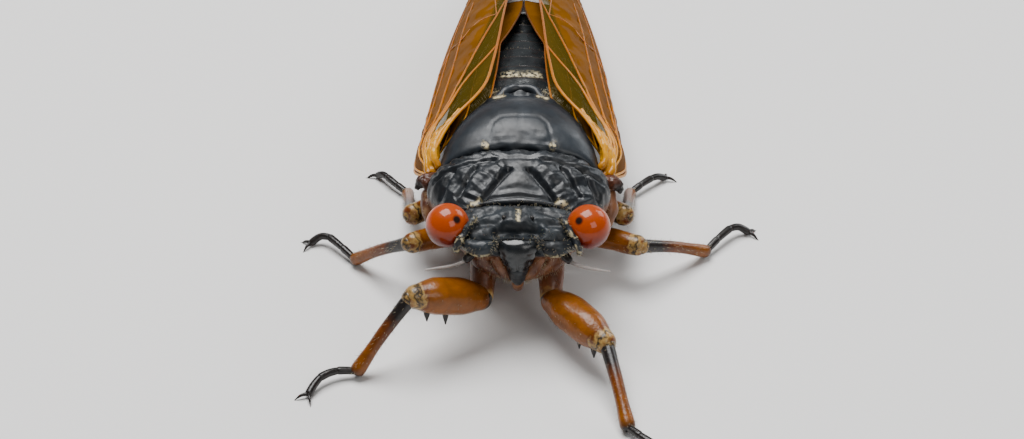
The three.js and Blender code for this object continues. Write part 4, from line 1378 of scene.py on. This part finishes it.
    def build(self) -> None:
        """Models and dresses the four wings."""
        fore_lines = (
            ([(0.0, 0.0), (0.3, 0.0), (0.6, 0.0), (0.85, 0.0), (1.0, 0.0)], 0.083, 0.051),
            ([(0.0, 1.0), (0.1, 1.0), (0.3, 1.0), (0.6, 1.0), (0.85, 1.0), (1.0, 1.0)], 0.096, 0.038),
            ([(0.0, 0.06), (0.25, 0.07), (0.5, 0.07), (0.8, 0.08), (0.93, 0.06)], 0.07, 0.038),
            ([(0.0, 0.3), (0.12, 0.3), (0.3, 0.31), (0.5, 0.31), (0.8, 0.3), (0.965, 0.28)], 0.07, 0.032),
            ([(0.14, 0.32), (0.3, 0.43), (0.5, 0.47), (0.8, 0.47), (0.965, 0.46)], 0.058, 0.032),
            ([(0.0, 0.38), (0.16, 0.52), (0.3, 0.62), (0.5, 0.66), (0.8, 0.66), (0.965, 0.64)], 0.07, 0.032),
            ([(0.0, 0.44), (0.08, 0.56), (0.16, 0.67), (0.24, 0.79), (0.3, 0.85), (0.365, 0.91), (0.425, 0.955)], 0.083, 0.058),
            ([(0.425, 0.955), (0.475, 0.98), (0.52, 1.0)], 0.058, 0.044),
            ([(0.0, 0.62), (0.06, 0.64), (0.11, 0.67), (0.16, 0.72), (0.2, 0.81), (0.235, 0.9), (0.265, 0.955), (0.3, 1.0)], 0.09, 0.058),
            ([(0.14, 0.07), (0.14, 0.3), (0.14, 0.5), (0.14, 0.65)], 0.044, 0.038),
            ([(0.4, 0.0), (0.41, 0.13), (0.38, 0.31), (0.42, 0.46), (0.4, 0.65), (0.43, 0.8), (0.44, 0.955)], 0.038, 0.038),
            ([(0.4, 0.1), (0.5, 0.19), (0.62, 0.2), (0.8, 0.19), (0.965, 0.16)], 0.038, 0.032),
            ([(0.62, 0.07), (0.64, 0.2), (0.6, 0.31), (0.64, 0.39), (0.61, 0.47)], 0.038, 0.032),
            ([(0.61, 0.47), (0.65, 0.56), (0.62, 0.66), (0.66, 0.78), (0.62, 0.9)], 0.038, 0.032),
            ([(0.64, 0.39), (0.8, 0.39), (0.965, 0.37)], 0.032, 0.03),
            ([(0.65, 0.56), (0.8, 0.56), (0.965, 0.55)], 0.032, 0.03),
            ([(0.44, 0.955), (0.55, 0.9), (0.66, 0.8), (0.8, 0.78), (0.965, 0.74)], 0.044, 0.03),
            ([(0.66, 0.8), (0.7, 0.9), (0.85, 0.92)], 0.032, 0.03),
            ([(0.8, 0.08), (0.82, 0.19), (0.79, 0.3), (0.82, 0.39), (0.79, 0.47), (0.82, 0.56), (0.79, 0.66)], 0.032, 0.03),
            ([(0.79, 0.66), (0.82, 0.78), (0.79, 0.92)], 0.032, 0.03),
            ([(0.9, 0.04), (0.95, 0.14), (0.97, 0.35), (0.97, 0.6), (0.96, 0.8), (0.9, 0.9), (0.8, 0.94)], 0.032, 0.03),
        )
        hind_lines = (
            ([(0.0, 0.0), (0.5, 0.0), (1.0, 0.0)], 0.064, 0.038),
            ([(0.0, 1.0), (0.5, 1.0), (1.0, 1.0)], 0.058, 0.051),
            ([(1.0, 0.0), (1.0, 0.5), (1.0, 1.0)], 0.038, 0.038),
            ([(0.0, 0.35), (0.55, 0.35), (1.0, 0.35)], 0.051, 0.032),
            ([(0.0, 0.7), (0.55, 0.7), (1.0, 0.7)], 0.051, 0.032),
            ([(0.55, 0.0), (0.55, 0.35), (0.57, 0.7), (0.55, 1.0)], 0.032, 0.032),
        )
        membrane = MembraneFinish()
        for side in Side:
            fore = self.membrane(side, False, 150, 60)
            self.workshop.keep(fore, f"forewing_membrane_{side.word}", membrane, f"forewing_{side.word}")
            self.workshop.keep(self.veins(side, False, fore_lines), f"forewing_veins_{side.word}", VEIN)
            hind = self.membrane(side, True, 80, 36)
            self.workshop.keep(hind, f"hindwing_membrane_{side.word}", membrane, f"hindwing_{side.word}")
            self.workshop.keep(self.veins(side, True, hind_lines), f"hindwing_veins_{side.word}", VEIN)
            self.hinge(side)

    def hinge(self, side: Side) -> None:
        """The yellow leathery root of the forewing."""
        line = [side.at(4.35, 7.35, 0.3), side.at(4.6, 7.6, 0.62)]
        line += [self.point(side, u, v, False, 0.03) for u, v in ((0.03, 0.9), (0.09, 0.95))]
        root = Bench.limb(line, [0.2, 0.2, 0.12, 0.07], 20, 14, levels=2)
        Bench.carve(root, lambda p, n: 0.07 * noise.noise(p * 2.8))
        self.workshop.keep(root, f"wing_root_{side.word}", HINGE)
        line = [side.at(4.6, 7.3, -0.15), side.at(4.72, 7.65, 0.1)]
        line += [self.point(side, u, v, False, -0.1) for u, v in ((0.035, 0.78), (0.075, 0.84))]
        web = Bench.limb(line, [0.26, 0.36, 0.22, 0.06], 20, 14, flat=1.1, levels=2)
        Bench.carve(web, lambda p, n: 0.06 * noise.noise(p * 3.4))
        self.workshop.keep(web, f"wing_web_{side.word}", HINGE)
        line = [side.at(4.9, 7.2, 0.0), side.at(5.0, 7.55, 0.2)]
        line += [self.point(side, u, v, False, 0.03) for u, v in ((0.03, 0.6), (0.08, 0.66))]
        fork = Bench.limb(line, [0.2, 0.19, 0.11, 0.06], 20, 14, levels=2)
        Bench.carve(fork, lambda p, n: 0.07 * noise.noise(p * 2.8))
        self.workshop.keep(fork, f"wing_fork_{side.word}", HINGE)


class LegKind(Enum):
    """The three pairs of legs, with the radii of coxa, femur, tibia and tarsus."""

    FORE = ((0.78, 0.72, 0.6), (0.68, 1.0, 0.98, 0.62), (0.4, 0.36, 0.34, 0.42), (0.3, 0.27, 0.27, 0.25))
    MID = ((0.8, 0.7, 0.5), (0.5, 0.62, 0.6, 0.58), (0.4, 0.34, 0.33, 0.38), (0.28, 0.27, 0.27, 0.25))
    HIND = ((0.8, 0.7, 0.5), (0.5, 0.6, 0.58, 0.6), (0.4, 0.34, 0.32, 0.36), (0.28, 0.26, 0.26, 0.25))

    @property
    def word(self) -> str:
        """The pair as it starts a node's name."""
        return self.name.lower()


JOINTS: dict[tuple[LegKind, Side], tuple[tuple[Spot, ...], tuple[Spot, ...]]] = {
    (LegKind.FORE, Side.LEFT): (
        ((1.75, 1.6, 4.4), (1.75, -1.0, 2.35), (4.6, -4.7, 2.3), (5.64, -8.97, 0.42)),
        ((5.64, -8.97, 0.42), (6.3, -9.8, 0.5), (7.1, -10.6, 0.45), (7.5, -11.2, 0.22)),
    ),
    (LegKind.FORE, Side.RIGHT): (
        ((-1.75, 1.6, 4.4), (-1.85, -1.2, 2.5), (-5.44, -3.18, 4.04), (-8.24, -4.77, 0.42)),
        ((-8.24, -4.77, 0.42), (-9.2, -4.9, 0.55), (-10.1, -5.5, 0.55), (-10.6, -6.4, 0.22)),
    ),
    (LegKind.MID, Side.LEFT): (
        ((2.0, 6.4, 3.2), (3.0, 5.4, 2.0), (6.54, 3.54, 2.5), (10.33, 5.99, 0.4)),
        ((10.33, 5.99, 0.4), (11.1, 7.0, 0.6), (12.1, 8.1, 0.6), (12.8, 8.1, 0.22)),
    ),
    (LegKind.MID, Side.RIGHT): (
        ((-2.0, 6.2, 3.2), (-3.0, 5.0, 2.1), (-5.8, 2.53, 3.3), (-9.03, 4.94, 0.4)),
        ((-9.03, 4.94, 0.4), (-9.9, 5.9, 0.6), (-10.9, 6.9, 0.6), (-11.6, 6.7, 0.22)),
    ),
    (LegKind.HIND, Side.LEFT): (
        ((2.0, 10.0, 3.0), (2.9, 9.2, 1.9), (5.8, 5.21, 3.3), (6.27, 11.54, 0.4)),
        ((6.27, 11.54, 0.4), (7.0, 12.3, 0.55), (7.8, 13.1, 0.5), (8.3, 13.4, 0.22)),
    ),
    (LegKind.HIND, Side.RIGHT): (
        ((-2.0, 9.8, 3.0), (-2.9, 9.0, 1.9), (-5.9, 5.04, 3.35), (-6.45, 11.34, 0.4)),
        ((-6.45, 11.34, 0.4), (-7.3, 12.2, 0.55), (-8.0, 13.1, 0.5), (-8.3, 13.4, 0.22)),
    ),
}


@dataclass
class Leg:
    """One leg: coxa, trochanter, femur, tibia, jointed foot and claws."""

    workshop: Workshop
    hairs: Hairs
    kind: LegKind
    side: Side

    def name(self, part: str) -> str:
        """Returns a piece's name on this leg."""
        return f"{self.kind.word}_{part}_{self.side.word}"

    def bow(self, a: Vector, b: Vector, lift: float) -> Vector:
        """Returns the middle of two points, lifted."""
        return a.lerp(b, 0.5) + Vector((0, 0, lift))

    def build(self) -> None:
        """Models and dresses the leg."""
        joints, toes = JOINTS[self.kind, self.side]
        root, hip, knee, ankle = (STANCE.over_floor(*p) for p in joints)
        coxa_r, femur_r, tibia_r, tarsus_r = self.kind.value
        coxa = Bench.limb([root, self.bow(root, hip, -0.05), hip], coxa_r, 20, 10)
        Bench.carve(coxa, lambda p, n: 0.05 * noise.noise(p * 1.8))
        self.hairs.plant(self.name("coxa_hairs"), coxa, 70, 0.3, lambda p, n: 1.0, (hip - root) * 0.3)
        self.workshop.keep(coxa, self.name("hip"), COXA, self.name("coxa"))
        trochanter = Bench.ball(hip.lerp(knee, 0.03), (femur_r[0] * 0.95,) * 3, 24, 16)
        Bench.tint(trochanter, "along", lambda p, n: 0.0)
        self.workshop.keep(trochanter, self.name("trochanter"), SPINE)
        femur = Bench.limb([hip, self.bow(hip, knee, 0.1), knee], femur_r, 24, 16, levels=1)
        Bench.carve(femur, lambda p, n: 0.03 * noise.noise(p * 1.5) + 0.01 * noise.noise(p * 6))
        self.hairs.plant(self.name("femur_hairs"), femur, 110, 0.24, lambda p, n: float(n.z < 0.5), (knee - hip) * 0.2)
        self.workshop.keep(femur, self.name("thigh"), FEMUR, self.name("femur"))
        if self.kind is LegKind.FORE:
            self.thigh_spines(hip, knee)
        cap = Bench.ball(knee.lerp(ankle, 0.02), (tibia_r[0] * 1.12,) * 3, 24, 16)
        Bench.tint(cap, "along", lambda p, n: 0.87)
        self.workshop.keep(cap, self.name("knee"), FEMUR)
        tibia = Bench.limb([knee, self.bow(knee, ankle, 0.12), ankle], tibia_r, 16, 18)
        self.hairs.plant(
            self.name("shin_hairs"), tibia, 120, 0.26, lambda p, n: float(p.z > STANCE.floor(p.y) + 0.5), (ankle - knee) * 0.15
        )
        self.workshop.keep(tibia, self.name("shin"), TIBIA, self.name("tibia"))
        self.foot([STANCE.over_floor(*p) for p in toes], tarsus_r)

    def thigh_spines(self, hip: Vector, knee: Vector) -> None:
        """The two black spines under the front thigh."""
        down = Vector((0, -0.35, -0.94))
        spines = []
        for i, t in enumerate((0.52, 0.78)):
            root = hip.lerp(knee, t) + down * 0.5
            tip = root + down * (0.9 - i * 0.15)
            spines.append(Bench.limb([root, root.lerp(tip, 0.5), tip], [0.3, 0.17, 0.04], 12, 6))
        self.workshop.keep(Bench.joined(spines), self.name("thigh_spines"), SPINE)

    def foot(self, points: Sequence[Vector], radii: Sequence[float]) -> None:
        """The three-jointed foot and its two claws."""
        path = Path(points)
        parts = []
        for a, b in ((0.0, 0.31), (0.32, 0.64), (0.65, 1.0)):
            line = [path.at(mix(a, b, t)) for t in (0, 0.5, 1)]
            parts.append(Bench.limb(line, [radii[1] * 0.76, radii[1] * 0.82, radii[2] * 0.86], 14, 6))
        foot = Bench.joined(parts)
        self.above_floor(foot)
        self.workshop.keep(foot, self.name("foot"), TARSUS, self.name("tarsus"))
        end, heading = points[-1], (points[-1] - points[-2]).normalized()
        aside = Vector((-heading.y, heading.x, 0)).normalized()
        claws = []
        for way in (1, -1):
            tip = end + (heading + aside * (0.8 * way)).normalized() * 0.8
            middle = end.lerp(tip, 0.5) + Vector((0, 0, 0.12))
            claws.append(Bench.limb([end, middle, tip], [0.13, 0.09, 0.02], 10, 6))
        pair = Bench.joined(claws)
        self.above_floor(pair)
        self.workshop.keep(pair, self.name("claws"), SPINE)

    def above_floor(self, obj: bpy.types.Object) -> None:
        """Flattens what would reach below the floor."""
        for v in obj.data.vertices:
            v.co.z = max(v.co.z, STANCE.floor(v.co.y))


@dataclass
class Studio:
    """Pale floor, soft lights and the camera."""

    eye: Vector = Vector((1.208, -96.677, 69.378))
    down: float = math.radians(35.5)
    turn: float = math.radians(-0.9)
    focal: float = 2299.0
    width: int = 1024
    sensor: float = 36.0

    def floor(self) -> None:
        """Lays the floor."""
        Bench.clear()
        bpy.ops.mesh.primitive_plane_add(size=3, location=(0, 0, 0))
        plane = bpy.context.object
        plane.name = "studio_floor"
        s = Shader("pale_floor")
        plane.data.materials.append(s.close(Base_Color=(0.72, 0.71, 0.7, 1), Roughness=0.65))

    def light(self, name: str, place: Spot, size: float, power: float, tint: Color = (1, 1, 1)) -> None:
        """Hangs a square soft light that looks at the insect."""
        data = bpy.data.lights.new(name, "AREA")
        data.shape = "SQUARE"
        data.size = size
        data.energy = power
        data.color = tint
        lamp = bpy.data.objects.new(name, data)
        bpy.context.scene.collection.objects.link(lamp)
        lamp.location = place
        lamp.rotation_euler = (Vector((0, 0, 0)) - Vector(place)).to_track_quat("-Z", "Y").to_euler()

    def camera(self) -> None:
        """Sets the camera at its given place, tilt, turn and focal length."""
        data = bpy.data.cameras.new("camera")
        data.sensor_width = self.sensor
        data.lens = self.focal * self.sensor / self.width
        data.clip_start = 0.001
        obj = bpy.data.objects.new("camera", data)
        bpy.context.scene.collection.objects.link(obj)
        obj.location = (STANCE.eyes() + self.eye) / 1000
        look = Vector(
            (math.sin(self.turn) * math.cos(self.down), math.cos(self.turn) * math.cos(self.down), -math.sin(self.down))
        )
        obj.rotation_euler = look.to_track_quat("-Z", "Y").to_euler()
        bpy.context.scene.camera = obj

    def build(self) -> None:
        """Sets up the studio."""
        self.floor()
        self.light("key", (-0.06, 0.1, 0.36), 0.26, 2.9)
        self.light("front", (0.18, -0.28, 0.26), 0.2, 0.5, (1.0, 0.98, 0.95))
        self.light("rim", (0.3, 0.28, 0.2), 0.2, 0.7, (0.95, 0.98, 1.0))
        world = bpy.data.worlds.new("studio")
        world.use_nodes = True
        world.node_tree.nodes["Background"].inputs["Color"].default_value = (0.75, 0.77, 0.8, 1)
        world.node_tree.nodes["Background"].inputs["Strength"].default_value = 0.2
        bpy.context.scene.world = world
        self.camera()


def main() -> None:
    """Builds the studio and the insect."""
    logging.basicConfig(level=logging.INFO, format="%(name)s %(message)s")
    workshop = Workshop()
    hairs = Hairs(workshop)
    Studio().build()
    Head(workshop, hairs).build()
    Prothorax(workshop, hairs).build()
    Mesothorax(workshop, hairs).build()
    Abdomen(workshop, hairs).build()
    Wings(workshop).build()
    for kind in LegKind:
        for side in Side:
            Leg(workshop, hairs, kind, side).build()


if __name__ == "__main__":
    main()
